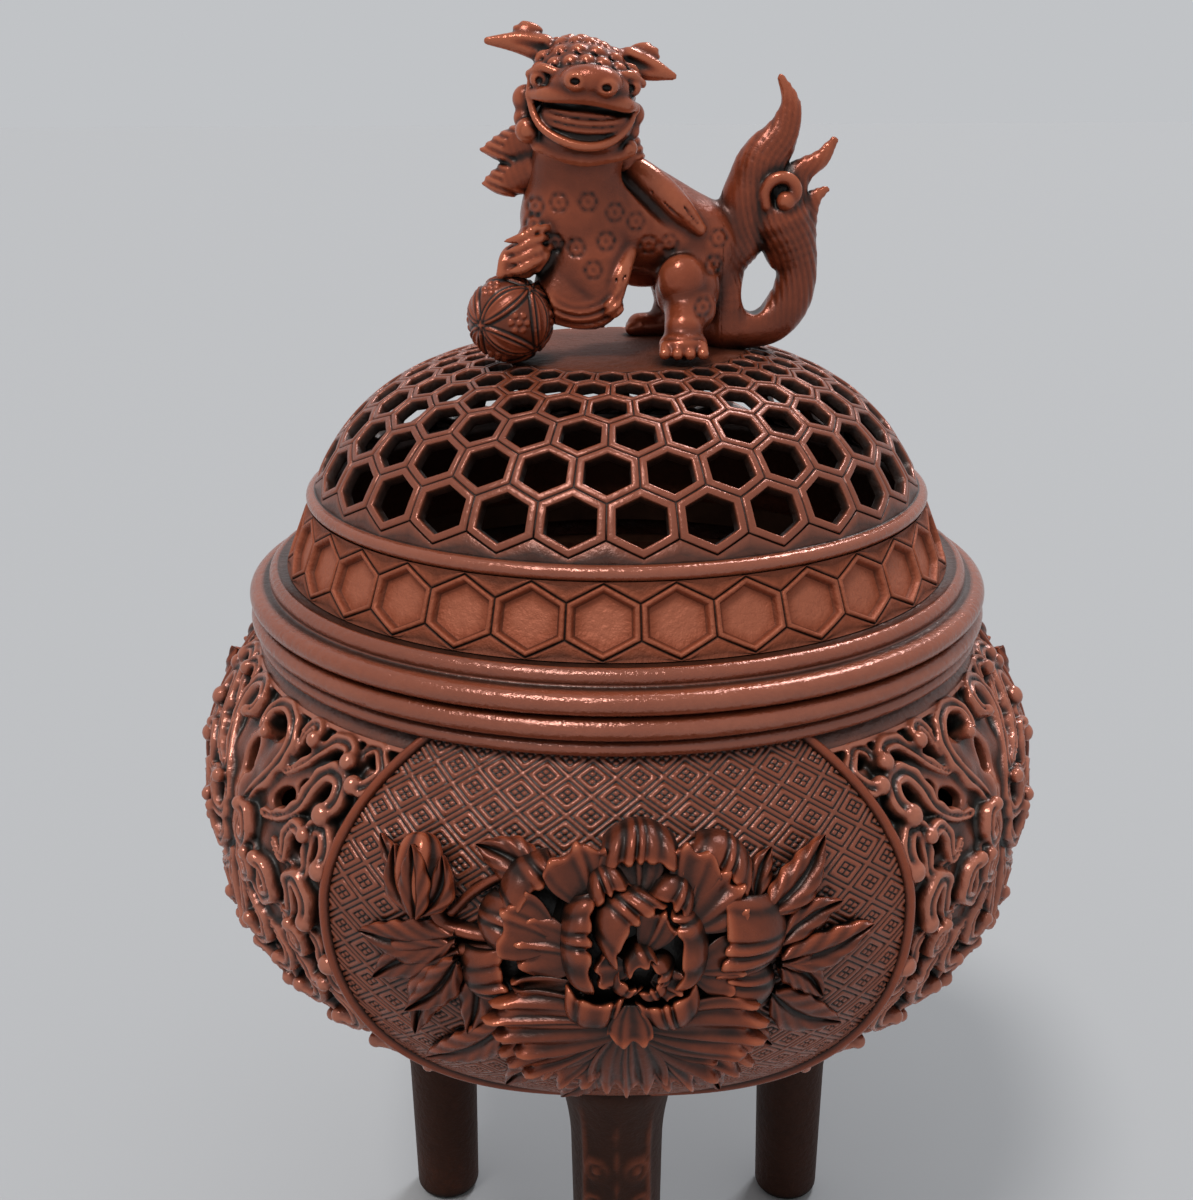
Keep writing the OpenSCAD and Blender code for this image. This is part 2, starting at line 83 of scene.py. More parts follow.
RIM_R = MOUTH_R + RIM_W
NECK_R = RIM_R - RIM_OVERHANG
BELLY_Z = FLOOR_H + LOW_H
NECK_Z = BELLY_Z + NECK_H
RIM_Z = NECK_Z + RIM_H
LEDGE_Z = RIM_Z - LEDGE_DEPTH
LID_TOP_Z = RIM_Z + LID_H
FLANGE_Z = RIM_Z + FLANGE_H
BAND_LOW_Z = FLANGE_Z + STEP_H
BAND_HIGH_Z = BAND_LOW_Z + BAND_H
BEAD_Z = BAND_HIGH_Z + BEAD_R
DOME_LOW_Z = LID_TOP_Z - DOME_CURVE_H

# Hexagons of the lid as the photo has them: turn of the first one, and on the dome their number, the pitch
# of their rows as a share of their width, and the depth of their holes
BAND_PHASE = math.radians(-1.9)
DOME_PHASE = math.radians(4.4)
DOME_HEX_COUNT = 30
ROW_PITCH = 0.75
GRILLE_WALL = 1.3


# Mesh helpers

def add_mesh(name, mesh, material, body, replaces, turn=0.0):
    """A piece from millimetre vertices, four-cornered faces and wear, turned about the bowl's axis.

    A face whose last two corners are the same is a triangle.
    """
    verts, quads, wear = mesh
    sizes = np.where(quads[:, 3] == quads[:, 2], 3, 4)
    corners = quads[np.arange(4) < sizes[:, None]]
    data = bpy.data.meshes.new(name)
    data.vertices.add(len(verts))
    data.vertices.foreach_set("co", (turned(verts, turn) * MM).ravel())
    data.loops.add(len(corners))
    data.loops.foreach_set("vertex_index", corners)
    data.polygons.add(len(quads))
    data.polygons.foreach_set("loop_start", np.cumsum(sizes) - sizes)
    data.polygons.foreach_set("use_smooth", np.ones(len(quads), bool))
    data.update(calc_edges=True)
    data.validate()
    # Wear holds patina and rubbing, and in some pieces painted shade and painted highlight as well
    attribute = data.attributes.new("wear", "FLOAT", "POINT")
    attribute.data.foreach_set("value", wear.astype(np.float32))
    data.materials.append(material)
    piece = bpy.data.objects.new(name, data)
    bpy.context.scene.collection.objects.link(piece)
    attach(piece, body)
    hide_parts(*replaces)


def weld(verts, quads, wear):
    """Merges vertices that lie at the same place and drops faces that collapse."""
    keys = np.round(verts / WELD_STEP).astype(np.int64)
    _, first, where = np.unique(keys, axis=0, return_index=True, return_inverse=True)
    quads = where.reshape(-1)[quads]
    for a, b, kept in ((0, 1, [0, 2, 3, 3]), (1, 2, [1, 3, 0, 0]), (0, 3, [0, 1, 2, 2])):
        same = quads[:, a] == quads[:, b]
        quads[same] = quads[same][:, kept]
    distinct = (quads[:, 0] != quads[:, 1]) & (quads[:, 1] != quads[:, 2]) & (quads[:, 0] != quads[:, 2])
    return verts[first], quads[distinct], wear[first]


def join(parts):
    """Puts several (verts, quads, wear) meshes into one."""
    verts, quads, wear = zip(*parts)
    starts = np.cumsum([0] + [len(v) for v in verts])
    quads = [q + start for q, start in zip(quads, starts)]
    return np.concatenate(verts), np.concatenate(quads), np.concatenate(wear)


def pairs(first, second):
    """All pairs of two lists of values, as two flat arrays that run through the second list faster."""
    return [values.ravel() for values in np.meshgrid(first, second, indexing="ij")]


def round_angles(count):
    """Equal steps round a full turn."""
    return np.arange(count) * 2 * math.pi / count


def grid_quads(rows, columns, wrap_rows=False, wrap_columns=False):
    """Faces of a grid whose vertices run row by row."""
    last_row = rows if wrap_rows else rows - 1
    last_column = columns if wrap_columns else columns - 1
    i, j = pairs(np.arange(last_row), np.arange(last_column))
    down, right = (i + 1) % rows, (j + 1) % columns
    return np.stack([i * columns + j, i * columns + right, down * columns + right, down * columns + j], 1)


def thicken(top, bottom, quads, wear):
    """A closed sheet from a top and a bottom layer that share the same faces."""
    count = len(top)
    start, end = quads.ravel(), np.roll(quads, -1, 1).ravel()
    is_open = ~np.isin(start * count + end, end * count + start)
    start, end = start[is_open], end[is_open]
    walls = np.stack([end, start, start + count, end + count], 1)
    return (np.concatenate([top, bottom]), np.concatenate([quads, quads[:, ::-1] + count, walls]),
            np.concatenate([wear, np.full(count, 0.2)]))


def lathe(stretches, segments=320):
    """A closed turned solid from stretches of its profile: (radius, height) points, and their wear."""
    profile = np.concatenate([np.asarray(points, float) for points, _ in stretches])
    wear = np.concatenate([np.full(len(points), level) for points, level in stretches])
    turn = round_angles(segments)
    r, z = profile[:, :1], profile[:, 1:]
    verts = np.stack([r * np.sin(turn), -r * np.cos(turn), np.broadcast_to(z, (len(profile), segments))], -1)
    quads = grid_quads(len(profile), segments, wrap_rows=True, wrap_columns=True)
    return verts.reshape(-1, 3), quads, np.repeat(wear, segments)


def arc(centre, radius, start, end, count):
    """Points of a round stretch of a profile, angles in degrees from outwards, turning upwards."""
    a = np.radians(np.linspace(start, end, count))
    return np.stack([centre[0] + radius * np.cos(a), centre[1] + radius * np.sin(a)], 1)


class Meridian:
    """A profile curve that can be walked by its length."""

    def __init__(self, points):
        self.points = np.asarray(points, float)
        steps = np.hypot(*np.diff(self.points, axis=0).T)
        self.length = np.concatenate([[0], np.cumsum(steps)])
        along = np.gradient(self.points, self.length, axis=0)
        along /= np.linalg.norm(along, axis=1)[:, None]
        self.normal = np.stack([along[:, 1], -along[:, 0]], 1)

    def at(self, s):
        return [np.interp(s, self.length, self.points[:, k]) for k in (0, 1)]

    def place(self, turn, s, lift):
        """Points at a turn and a length along the curve, lifted off it."""
        r, z = self.at(s)
        nr, nz = [np.interp(s, self.length, self.normal[:, k]) for k in (0, 1)]
        r = r + lift * nr
        return np.stack([r * np.sin(turn), -r * np.cos(turn), z + lift * nz], -1)

    def length_at_height(self, z):
        return float(np.interp(z, self.points[:, 1], self.length))

    def length_at_radius(self, r):
        """For a curve whose radius falls."""
        return float(np.interp(-r, -self.points[:, 0], self.length))


def top_share(rise):
    """Share of the upper curve's radius that is left at a height above the belly."""
    return (1 - (rise / TOP_CURVE_H) ** TOP_POWER) ** (1 / TOP_POWER)


def bowl_radius(z):
    """Radius of the bowl's outside at a height."""
    low = BELLY_R * (1 - np.clip((BELLY_Z - z) / LOW_H, 0, 1) ** LOW_POWER) ** (1 / LOW_POWER)
    end = top_share(NECK_H)
    top = NECK_R + (BELLY_R - NECK_R) * (top_share(np.maximum(z - BELLY_Z, 0)) - end) / (1 - end)
    return np.where(z < BELLY_Z, low, top)


def dome_radius(z):
    """Radius of the lid's dome at a height."""
    return DOME_R * (1 - ((z - DOME_LOW_Z) / DOME_CURVE_H) ** DOME_POWER) ** (1 / DOME_POWER)


def dome_height(r):
    """Height of the lid's dome at a radius."""
    return DOME_LOW_Z + DOME_CURVE_H * (1 - (r / DOME_R) ** DOME_POWER) ** (1 / DOME_POWER)


def bowl_meridian():
    """The bowl's outside from the middle of its underside to its neck."""
    t = np.linspace(math.pi / 2, 0, 300)
    power = 2 / LOW_POWER
    low = np.stack([BELLY_R * np.cos(t) ** power, BELLY_Z - LOW_H * np.sin(t) ** power], 1)
    z = np.linspace(BELLY_Z, NECK_Z + 1, 160)[1:]
    return Meridian(np.concatenate([low, np.stack([bowl_radius(z), z], 1)]))


BOWL = bowl_meridian()
BELLY_S = BOWL.length_at_height(BELLY_Z)
NECK_S = BOWL.length_at_height(NECK_Z)


def on_bowl(u, v, lift):
    """A place on the bowl: u along the belly from a medallion's middle, v up from the belly, lift off it."""
    return BOWL.place(u / BELLY_R, BELLY_S + v, lift)


def turned(verts, turn):
    """Verts turned about the bowl's axis."""
    c, s = math.cos(turn), math.sin(turn)
    return np.stack([verts[:, 0] * c - verts[:, 1] * s, verts[:, 0] * s + verts[:, 1] * c, verts[:, 2]], 1)


# Materials

def feed(tree, node, inputs):
    """Gives a node's inputs, by name or number, values or the outputs of other nodes."""
    for key, value in inputs.items():
        if isinstance(value, bpy.types.NodeSocket):
            tree.links.new(value, node.inputs[key])
        else:
            node.inputs[key].default_value = value


def add_node(tree, kind, inputs, **settings):
    """A shader node with its inputs fed and its settings made."""
    node = tree.nodes.new("ShaderNode" + kind)
    for name, value in settings.items():
        setattr(node, name, value)
    feed(tree, node, inputs)
    return node


def worked_out(tree, operation, *values):
    """The output of a Math node."""
    return add_node(tree, "Math", dict(enumerate(values)), operation=operation).outputs[0]


def noise_on_piece(tree, scale, detail, roughness):
    """The output of a noise that sticks to the piece."""
    place = add_node(tree, "TexCoord", {}).outputs["Object"]
    inputs = {"Vector": place, "Scale": scale, "Detail": detail, "Roughness": roughness}
    return add_node(tree, "TexNoise", inputs).outputs["Fac"]


def ranged(tree, value, to_low, to_high, from_low=0.0, from_high=1.0):
    """A value taken from one range to another."""
    inputs = {"Value": value, "From Min": from_low, "From Max": from_high}
    inputs.update({"To Min": to_low, "To Max": to_high})
    return add_node(tree, "MapRange", inputs).outputs["Result"]


def coloured(tree, level, tones):
    """The colour of a level on a ramp of (position, colour) tones."""
    ramp = add_node(tree, "ValToRGB", {"Fac": level})
    stops = ramp.color_ramp.elements
    while len(stops) < len(tones):
        stops.new(0.5)
    for stop, (position, colour) in zip(stops, tones):
        stop.position = position
        stop.color = (*colour, 1.0)
    return ramp.outputs["Color"]


def new_material(name):
    """A material with its node tree and its shader."""
    material = bpy.data.materials.new(name)
    material.use_nodes = True
    return material, material.node_tree, material.node_tree.nodes["Principled BSDF"]


# How much the broad and the fine mottling add to the wear, and what is taken off again
BROAD_SHARE = 0.34
FINE_SHARE = 0.14
MOTTLE_MIDDLE = 0.24
# Reach of the painted shade that ambient occlusion puts in recesses, and depth of the casting's grain, in
# metres
SHADE_REACH = 0.003
GRAIN_DEPTH = 0.0003
# Scale, detail and roughness of the noises
BROAD_NOISE = (55.0, 5.0, 0.6)
FINE_NOISE = (900.0, 4.0, 0.65)
ASH_NOISE = (140.0, 6.0, 0.65)


def bronze(name, tones, rough_low, rough_high, grain, sheen):
    """Patinated bronze: dark in the recesses from patina and from shade painted by ambient occlusion, redder
    and smoother where hands have rubbed it.
    """
    material, tree, shader = new_material(name)
    wear = add_node(tree, "Attribute", {}, attribute_name="wear").outputs["Fac"]
    broad = noise_on_piece(tree, *BROAD_NOISE)
    fine = noise_on_piece(tree, *FINE_NOISE)
    # Painted shade: ambient occlusion darkens the recesses beyond the patina that the wear gives them
    hollow = add_node(tree, "AmbientOcclusion", {"Distance": SHADE_REACH}, samples=8).outputs["AO"]
    painted_shade = ranged(tree, hollow, -0.3, 0.02, 0.25, 0.85)
    level = worked_out(tree, "MULTIPLY_ADD", broad, BROAD_SHARE, wear)
    level = worked_out(tree, "MULTIPLY_ADD", fine, FINE_SHARE, level)
    level = worked_out(tree, "ADD", level, painted_shade)
    level = worked_out(tree, "SUBTRACT", level, MOTTLE_MIDDLE)
    bump = add_node(tree, "Bump", {"Strength": grain, "Distance": GRAIN_DEPTH, "Height": fine})
    feed(tree, shader, {
        "Metallic": 0.3, "Specular IOR Level": sheen, "Base Color": coloured(tree, level, tones),
        "Roughness": ranged(tree, level, rough_high, rough_low), "Normal": bump.outputs["Normal"]})
    return material


TONES = [
    (0.0, (0.008, 0.005, 0.0035)),
    (0.26, (0.050, 0.016, 0.008)),
    (0.5, (0.215, 0.056, 0.026)),
    (0.72, (0.320, 0.080, 0.036)),
    (0.95, (0.460, 0.140, 0.075)),
]
RED_TONES = [
    (0.0, (0.007, 0.005, 0.0035)),
    (0.26, (0.032, 0.011, 0.006)),
    (0.48, (0.165, 0.037, 0.016)),
    (0.72, (0.330, 0.072, 0.029)),
    (0.95, (0.500, 0.135, 0.062)),
]
DARK_TONES = [
    (0.0, (0.007, 0.006, 0.004)),
    (0.28, (0.030, 0.014, 0.009)),
    (0.5, (0.125, 0.040, 0.024)),
    (0.72, (0.300, 0.084, 0.046)),
    (0.95, (0.480, 0.160, 0.095)),
]
plain_bronze = bronze("plain_bronze", TONES, 0.18, 0.46, 0.45, 0.7)
relief_bronze = bronze("relief_bronze", RED_TONES, 0.16, 0.42, 0.35, 0.45)
openwork_bronze = bronze("openwork_bronze", DARK_TONES, 0.14, 0.46, 0.4, 0.6)
polished_bronze = bronze("polished_bronze", TONES, 0.07, 0.42, 0.55, 0.9)
matte_bronze = bronze("matte_bronze", TONES, 0.48, 0.62, 1.0, 0.25)


def plain_metal(name, colour, metallic, roughness, mottle):
    """Unpolished metal of the hidden pieces, mottled by heat and ash."""
    material, tree, shader = new_material(name)
    noise = noise_on_piece(tree, *ASH_NOISE)
    shades = [(0.3, [c * (1 - mottle) for c in colour]), (0.7, [min(1, c * (1 + mottle)) for c in colour])]
    feed(tree, shader, {
        "Metallic": metallic, "Base Color": coloured(tree, noise, shades),
        "Roughness": ranged(tree, noise, roughness - 0.1, roughness + 0.12)})
    return material


liner_copper = plain_metal("liner_copper", (0.20, 0.085, 0.05), 0.8, 0.45, 0.45)
fixing_bronze = plain_metal("fixing_bronze", (0.09, 0.045, 0.028), 0.7, 0.45, 0.35)


def give_material(node, material):
    """Paints a node of the frame that no piece replaces."""
    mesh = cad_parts[node].data
    mesh.materials.clear()
    mesh.materials.append(material)


for sheet in ("ash_liner", "liner_floor"):
    give_material(sheet, liner_copper)
for fixing in ("peony_rivets", "leg_screws", "lid_locating_ring", "lion_washers", "lion_nuts"):
    give_material(fixing, fixing_bronze)


# Lid: mouldings, blind band, pierced dome and crown

def lid_mouldings():
    """Rolled flange, stepped ring, band seat and bead, as one turned ring."""
    roll = 1.25
    foot_r = dome_radius(BEAD_Z)
    inner = foot_r - LID_WALL
    return lathe([
        ([(MOUTH_R - 2.4, RIM_Z), (RIM_R - 3.6, RIM_Z), (RIM_R - 2.2, RIM_Z + 0.12)], 0.3),
        (arc((RIM_R - roll, RIM_Z + 0.15 + roll), roll, -85, 95, 17), 0.72),
        ([(RIM_R - 1.9, FLANGE_Z + 0.02), (RIM_R - 2.3, FLANGE_Z - 0.06),
          (RIM_R - 2.55, FLANGE_Z + 0.05)], 0.3),
        (arc((RIM_R - 3.7, FLANGE_Z + 0.75), 1.15, -30, 80, 13), 0.66),
        ([(RIM_R - 3.75, BAND_LOW_Z - 0.2), (RIM_R - 4.1, BAND_LOW_Z - 0.3),
          (RIM_R - 4.7, BAND_LOW_Z - 0.26)], 0.3),
        ([(RIM_R - BAND_INSET - 1.3, BAND_LOW_Z - 0.2), (foot_r - 1.0, BAND_HIGH_Z - 0.2)], 0.3),
        ([(foot_r + 0.25, BAND_HIGH_Z - 0.1)], 0.15),
        (arc((foot_r - 0.1, BEAD_Z), BEAD_R, -62, 100, 15), 0.78),
        ([(foot_r - 0.45, BEAD_Z + BEAD_R + 0.1), (inner, BEAD_Z + BEAD_R), (inner, BAND_HIGH_Z)], 0.12),
        ([(MOUTH_R - 2.4, FLANGE_Z)], 0.2),
    ])


def hex_rows(curve, start, end):
    """Heights of the corners of each row of hexagons: low points and shoulders, climbing the curve."""
    lows, shoulders = [], []
    s = start
    while True:
        width = 2 * math.pi * curve.at(s)[0] / DOME_HEX_COUNT
        lows.append(s)
        shoulders.append(s + ROW_PITCH * width / 3)
        s += ROW_PITCH * width
        if s + ROW_PITCH * width / 3 > end:
            return lows, shoulders


def hex_cell(curve, centre, half, heights, rings, edge_points):
    """One hexagon as nested rings; heights are low point, shoulder, upper shoulder and peak."""
    low, shoulder, upper, peak = heights
    corners = np.array([(0, low), (half, shoulder), (half, upper),
                        (0, peak), (-half, upper), (-half, shoulder)])
    steps = np.arange(edge_points)[:, None] / edge_points
    outline = np.concatenate([a + steps * (b - a) for a, b in zip(corners, np.roll(corners, -1, 0))])
    middle = np.array([0, (shoulder + upper) / 2])
    verts = []
    for share, lift, _ in rings:
        across, s = (middle + share * (outline - middle)).T
        verts.append(curve.place(centre + across, s, lift))
    wear = np.repeat([level for _, _, level in rings], len(outline))
    return np.concatenate(verts), grid_quads(len(rings), len(outline), wrap_columns=True), wear


def zigzag_strip(curve, centre, half, near, far, edge, flip, rows, edge_points):
    """The strip between a zigzag of hexagon edges and a straight ring, for one hexagon's width."""
    steps = np.linspace(-1, 1, 2 * edge_points + 1)
    zigzag = near + np.abs(steps) * (far - near)
    room = edge - zigzag
    depth = np.abs(room) / np.abs(room).max()
    verts = []
    for towards, step, lift, dip, _ in rows:
        s = zigzag + towards * room + step * np.sign(room)
        s = np.minimum(s, edge) if edge > near else np.maximum(s, edge)
        verts.append(curve.place(centre + steps * half, s, lift - dip * depth))
    quads = grid_quads(len(rows), len(steps))
    wear = np.repeat([level for *_, level in rows], len(steps))
    return np.concatenate(verts), quads[:, ::-1] if flip else quads, wear


def honeycomb(curve, count, phase, cells, strips, rings, rows, edge_points):
    """Rows of hexagons round the lid, and the strips between them and the plain rings beside them."""
    half = math.pi / count
    columns = phase + 2 * half * np.arange(count)
    parts = [hex_cell(curve, column + shift * half, half, heights, rings, edge_points)
             for heights, shift in cells for column in columns]
    parts += [zigzag_strip(curve, column + shift * half, half, near, far, edge, flip, rows, edge_points)
              for near, far, edge, shift, flip in strips for column in columns]
    return weld(*join(parts))


# Rings of one hexagon, from its outline inwards: share of its size, lift and wear
PIERCED_RINGS = [
    (1.0, -0.2, 0.2), (0.978, -0.06, 0.42), (0.955, 0.08, 0.68), (0.91, 0.13, 0.6), (0.80, 0.12, 0.6),
    (0.755, 0.07, 0.74), (0.738, -0.12, 0.4), (0.728, -0.6, 0.1), (0.71, 0.2 - GRILLE_WALL, 0.05),
    (0.72, -GRILLE_WALL, 0.1), (1.0, -GRILLE_WALL, 0.2)]
BLIND_RINGS = [
    (1.0, -0.14, 0.2), (0.978, 0.0, 0.45), (0.955, 0.14, 0.8), (0.93, 0.2, 0.78), (0.885, 0.2, 0.78),
    (0.85, 0.12, 0.86), (0.81, -0.3, 0.6), (0.765, -0.7, 0.42), (0.745, -0.74, 0.7), (0.4, -0.76, 0.94),
    (0.0, -0.74, 0.96)]
# Rows of a strip: share of the way to its edge, step towards it, lift, dip of its triangles and wear
PIERCED_ROWS = [
    (0, 0, -0.2, 0, 0.1), (0, 0.22, 0, 0, 0.55), (0.5, 0, 0, 0.4, 0.3), (1, 0, 0, 0, 0.5),
    (1, 0, -GRILLE_WALL, 0, 0.2), (0, 0, -GRILLE_WALL, 0, 0.2)]
BLIND_ROWS = [
    (0, 0, -0.12, 0, 0.12), (0, 0.2, 0.1, 0, 0.5), (0, 0.45, 0.14, 0, 0.7), (2 / 3, 0, 0.12, 0.4, 0.45),
    (1, 0, 0.1, 0, 0.5)]
# Lengths up the dome's curve from the bead: the foot of the pierced part and its first low points
DOME_EDGE_S = 0.3
FIRST_ROW_S = 1.55
# Points on each edge of a hexagon
PIERCED_EDGE_POINTS = 3
BLIND_EDGE_POINTS = 4


def pierced_dome():
    """The rows of open hexagons between the bead and the crown."""
    ends = (np.array([BEAD_Z, dome_height(CROWN_R - 2)]) - DOME_LOW_Z) / DOME_CURVE_H
    turns = np.linspace(*np.arcsin(ends ** (DOME_POWER / 2)), 400)
    z = DOME_LOW_Z + DOME_CURVE_H * np.sin(turns) ** (2 / DOME_POWER)
    dome = Meridian(np.stack([dome_radius(z), z], 1))
    lows, shoulders = hex_rows(dome, FIRST_ROW_S, dome.length_at_radius(CROWN_R))
    last = len(lows) - 1
    cells = [((lows[row], shoulders[row], lows[row + 1], shoulders[row + 1]), row) for row in range(last)]
    # The lower strip's faces point inwards, which shades its seam with the hexagons as a crisp line
    strips = [(lows[0], shoulders[0], DOME_EDGE_S, 0, False),
              (lows[last], shoulders[last], dome.length_at_radius(CROWN_R - 0.6), last, False)]
    return honeycomb(dome, DOME_HEX_COUNT, DOME_PHASE, cells, strips, PIERCED_RINGS, PIERCED_ROWS,
                     PIERCED_EDGE_POINTS)


def blind_band():
    """A single row of hexagons with sunk floors, between the stepped ring and the bead."""
    foot_r = dome_radius(BEAD_Z)
    band = Meridian(np.stack([np.linspace(RIM_R - BAND_INSET, foot_r + 0.35, 60),
                              np.linspace(BAND_LOW_Z - 0.15, BAND_HIGH_Z - 0.05, 60)], 1))
    length = band.length[-1]
    low, shoulder, upper, peak = 0.02 * length, 0.27 * length, 0.73 * length, 0.98 * length
    strips = [(low, shoulder, -0.1, 0, True), (peak, upper, length + 0.1, 0, False)]
    cells = [((low, shoulder, upper, peak), 0)]
    return honeycomb(band, HEX_COUNT, BAND_PHASE, cells, strips, BLIND_RINGS, BLIND_ROWS, BLIND_EDGE_POINTS)


def lid_crown():
    """The plain disc under the lion, a little domed, with its underside."""
    edge = CROWN_R + 1.4
    edge_z = dome_height(edge)
    r = np.linspace(edge, 0.05, 24)
    top = np.stack([r, dome_height(r) + 0.06], 1)
    rim = [(edge, edge_z - LID_WALL), (edge + 0.05, edge_z - 0.25)]
    return lathe([(rim, 0.2), (top, 0.42), (top[::-1] - [0, LID_WALL], 0.2)], 160)


for lid_name, lid_mesh, lid_material in (
        ("lid_mouldings", lid_mouldings(), polished_bronze),
        ("lid_blind_band", blind_band(), matte_bronze),
        ("lid_pierced_dome", pierced_dome(), plain_bronze),
        ("lid_crown", lid_crown(), matte_bronze)):
    add_mesh(lid_name, lid_mesh, lid_material, "lid", ("lid_dome",))


# Bowl: rim, collar and floor

COLLAR_H = 1.8
NECK_V = NECK_S - BELLY_S


def bowl_rim():
    """Rolled rim, neck bead and plain collar, with the ledge inside that carries the liner."""
    ledge_in = MOUTH_R - LEDGE_W
    collar_z = np.linspace(NECK_Z - COLLAR_H, NECK_Z - 0.1, 5)
    collar = np.stack([bowl_radius(collar_z) - 0.36, collar_z], 1)
    seat = NECK_Z - COLLAR_H
    return lathe([
        ([(ledge_in, LEDGE_Z - LEDGE_T), (RIM_R - 1.5, LEDGE_Z - LEDGE_T), (RIM_R - 1.2, seat - 0.4)], 0.2),
        (collar, 0.45),
        (arc((RIM_R - 1.5, NECK_Z + 0.75), 0.85, -70, 75, 9), 0.66),
        ([(RIM_R - 1.85, NECK_Z + 1.72)], 0.1),
        (arc((RIM_R - 1.3, RIM_Z - 1.42), 1.3, -75, 88, 13), 0.75),
        ([(MOUTH_R + 0.4, RIM_Z - 0.1), (MOUTH_R, RIM_Z - 0.5),
          (MOUTH_R, LEDGE_Z), (ledge_in, LEDGE_Z)], 0.35),
    ])


def bowl_floor():
    """The closed underside of the bowl, below the openwork."""
    s = np.linspace(0.05, BELLY_S - 33.0, 24)
    r, z = BOWL.at(s)
    outside = np.stack([r, z], 1)
    inside = outside[::-1] + [0, WALL]
    return lathe([(outside, 0.35), (inside, 0.2)], 160)


# Medallions: a diapered ground inside a raised rib

MEDALLION_R = 34.5
MEDALLION_V = -2.2
RIB_W = 1.3
RIB_H = 0.75
DIAMOND_U = 5.8
DIAMOND_V = 4.15
GROOVE_DEPTH = 0.3
# Distances of the pattern's edges and grooves from the middle of a diamond, as shares of its side
DIAPER_LINES = (0.045, 0.16, 0.205, 0.25, 0.36, 0.41, 0.455)
DIAPER_GROOVES = (0.205, 0.41)


def diaper_skin():
    """Diamonds, each a frame round four small squares, as a sheet over the medallion's wall."""
    offsets = np.array(DIAPER_LINES)
    unit = np.concatenate([0.5 - offsets[::-1], [0.5], 0.5 + offsets])
    reach = int(math.ceil(MEDALLION_R * math.hypot(1 / DIAMOND_U, 1 / DIAMOND_V))) + 1
    lines = (np.arange(-reach, reach)[:, None] + unit).ravel()
    p, q = pairs(lines, lines)
    u = (p - q) * DIAMOND_U / 2
    v = (p + q) * DIAMOND_V / 2 + MEDALLION_V
    from_middle = np.stack([np.abs(p % 1 - 0.5), np.abs(q % 1 - 0.5)])
    ring, inner = from_middle.max(0), from_middle.min(0)
    sunk = (ring < 0.17) & (inner < 0.001)
    for groove in DIAPER_GROOVES:
        sunk |= np.isclose(ring, groove)
    inside = (np.hypot(u, v - MEDALLION_V) < MEDALLION_R - 0.15) & (v < NECK_V - 0.1)
    quads = grid_quads(len(lines), len(lines))[:, ::-1]
    quads = quads[inside[quads].all(1)]
    used, quads = np.unique(quads, return_inverse=True)
    quads = quads.reshape(-1, 4)
    u, v, sunk, ring = u[used], v[used], sunk[used], ring[used]
    wear = np.where(sunk, 0.08, np.where(ring > 0.43, 0.56, 0.63))
    return on_bowl(u, v, np.where(sunk, -GROOVE_DEPTH, 0.0)), quads, wear


def medallion_wall():
    """The medallion's wall under its diapered skin."""
    rings, around = 24, 120
    r, angle = pairs(np.linspace(0.001, 1, rings) * MEDALLION_R, round_angles(around))
    u = r * np.cos(angle)
    v = np.minimum(r * np.sin(angle) + MEDALLION_V, NECK_V)
    quads = grid_quads(rings, around, wrap_columns=True)[:, ::-1]
    return thicken(on_bowl(u, v, -0.42), on_bowl(u, v, -WALL), quads, np.full(len(u), 0.3))


def rib_path():
    """The medallion's outline from one end under the collar, round the bottom, to the other."""
    top = math.asin((NECK_V + 0.2 - MEDALLION_V) / MEDALLION_R)
    angle = np.linspace(top, -math.pi - top, 180)
    return np.stack([MEDALLION_R * np.cos(angle), MEDALLION_R * np.sin(angle) + MEDALLION_V], 1)


BEAD_SIDES = 9


def bead_along(path, half_width, height, sink, wear):
    """A half-round bead along a line on the bowl, its foot sunk into the wall."""
    count = len(path)
    along = np.gradient(path, axis=0)
    along /= np.linalg.norm(along, axis=1)[:, None]
    across = np.stack([-along[:, 1], along[:, 0]], 1)
    a = np.linspace(0, math.pi, BEAD_SIDES)
    offset = np.concatenate([half_width * np.cos(a), [-half_width, half_width]])
    lift = np.concatenate([height * np.sin(a), [-sink, -sink]])
    u = path[:, :1] + across[:, :1] * offset
    v = path[:, 1:] + across[:, 1:] * offset
    verts = on_bowl(u.ravel(), v.ravel(), np.tile(lift, count))
    levels = np.concatenate([wear * (0.45 + 0.55 * np.sin(a)), [0.1, 0.1]])
    quads = grid_quads(count, len(lift), wrap_columns=True)[:, ::-1]
    caps = [[0, k, k + 1, k + 1] for k in range(1, len(lift) - 1)]
    end = (count - 1) * len(lift)
    caps += [[end, end + k + 1, end + k, end + k] for k in range(1, len(lift) - 1)]
    return verts, np.concatenate([quads, np.array(caps)]), np.tile(levels, count)


SIDES = (("front", 0.0), ("back_left", -THIRD), ("back_right", THIRD))
add_mesh("bowl_rim", bowl_rim(), polished_bronze, "vessel", ("vessel_bowl",))
add_mesh("bowl_floor", bowl_floor(), plain_bronze, "vessel", ("vessel_bowl",))
MEDALLION_PARTS = (
    ("medallion_diaper_", diaper_skin(), plain_bronze),
    ("medallion_wall_", medallion_wall(), plain_bronze),
    ("medallion_rib_", bead_along(rib_path(), RIB_W / 2, RIB_H, 0.6, 0.66), relief_bronze))
for side, side_turn in SIDES:
    for part, part_mesh, part_material in MEDALLION_PARTS:
        add_mesh(part + side, part_mesh, part_material, "vessel", ("vessel_bowl",), side_turn)


# Legs

# Low wear that paints the legs dark, as painted shade under the bowl
LEG_SHADED_WEAR = 0.2
# Scrolls on one half of a leg's outer face: place across and up, and radius
LEG_SCROLLS = [(2.6, 47.6, 2.0), (3.0, 42.4, 1.7), (2.4, 37.8, 1.5),
               (2.6, 33.6, 1.3), (2.0, 30.0, 1.1), (0.0, 26.6, 1.0)]


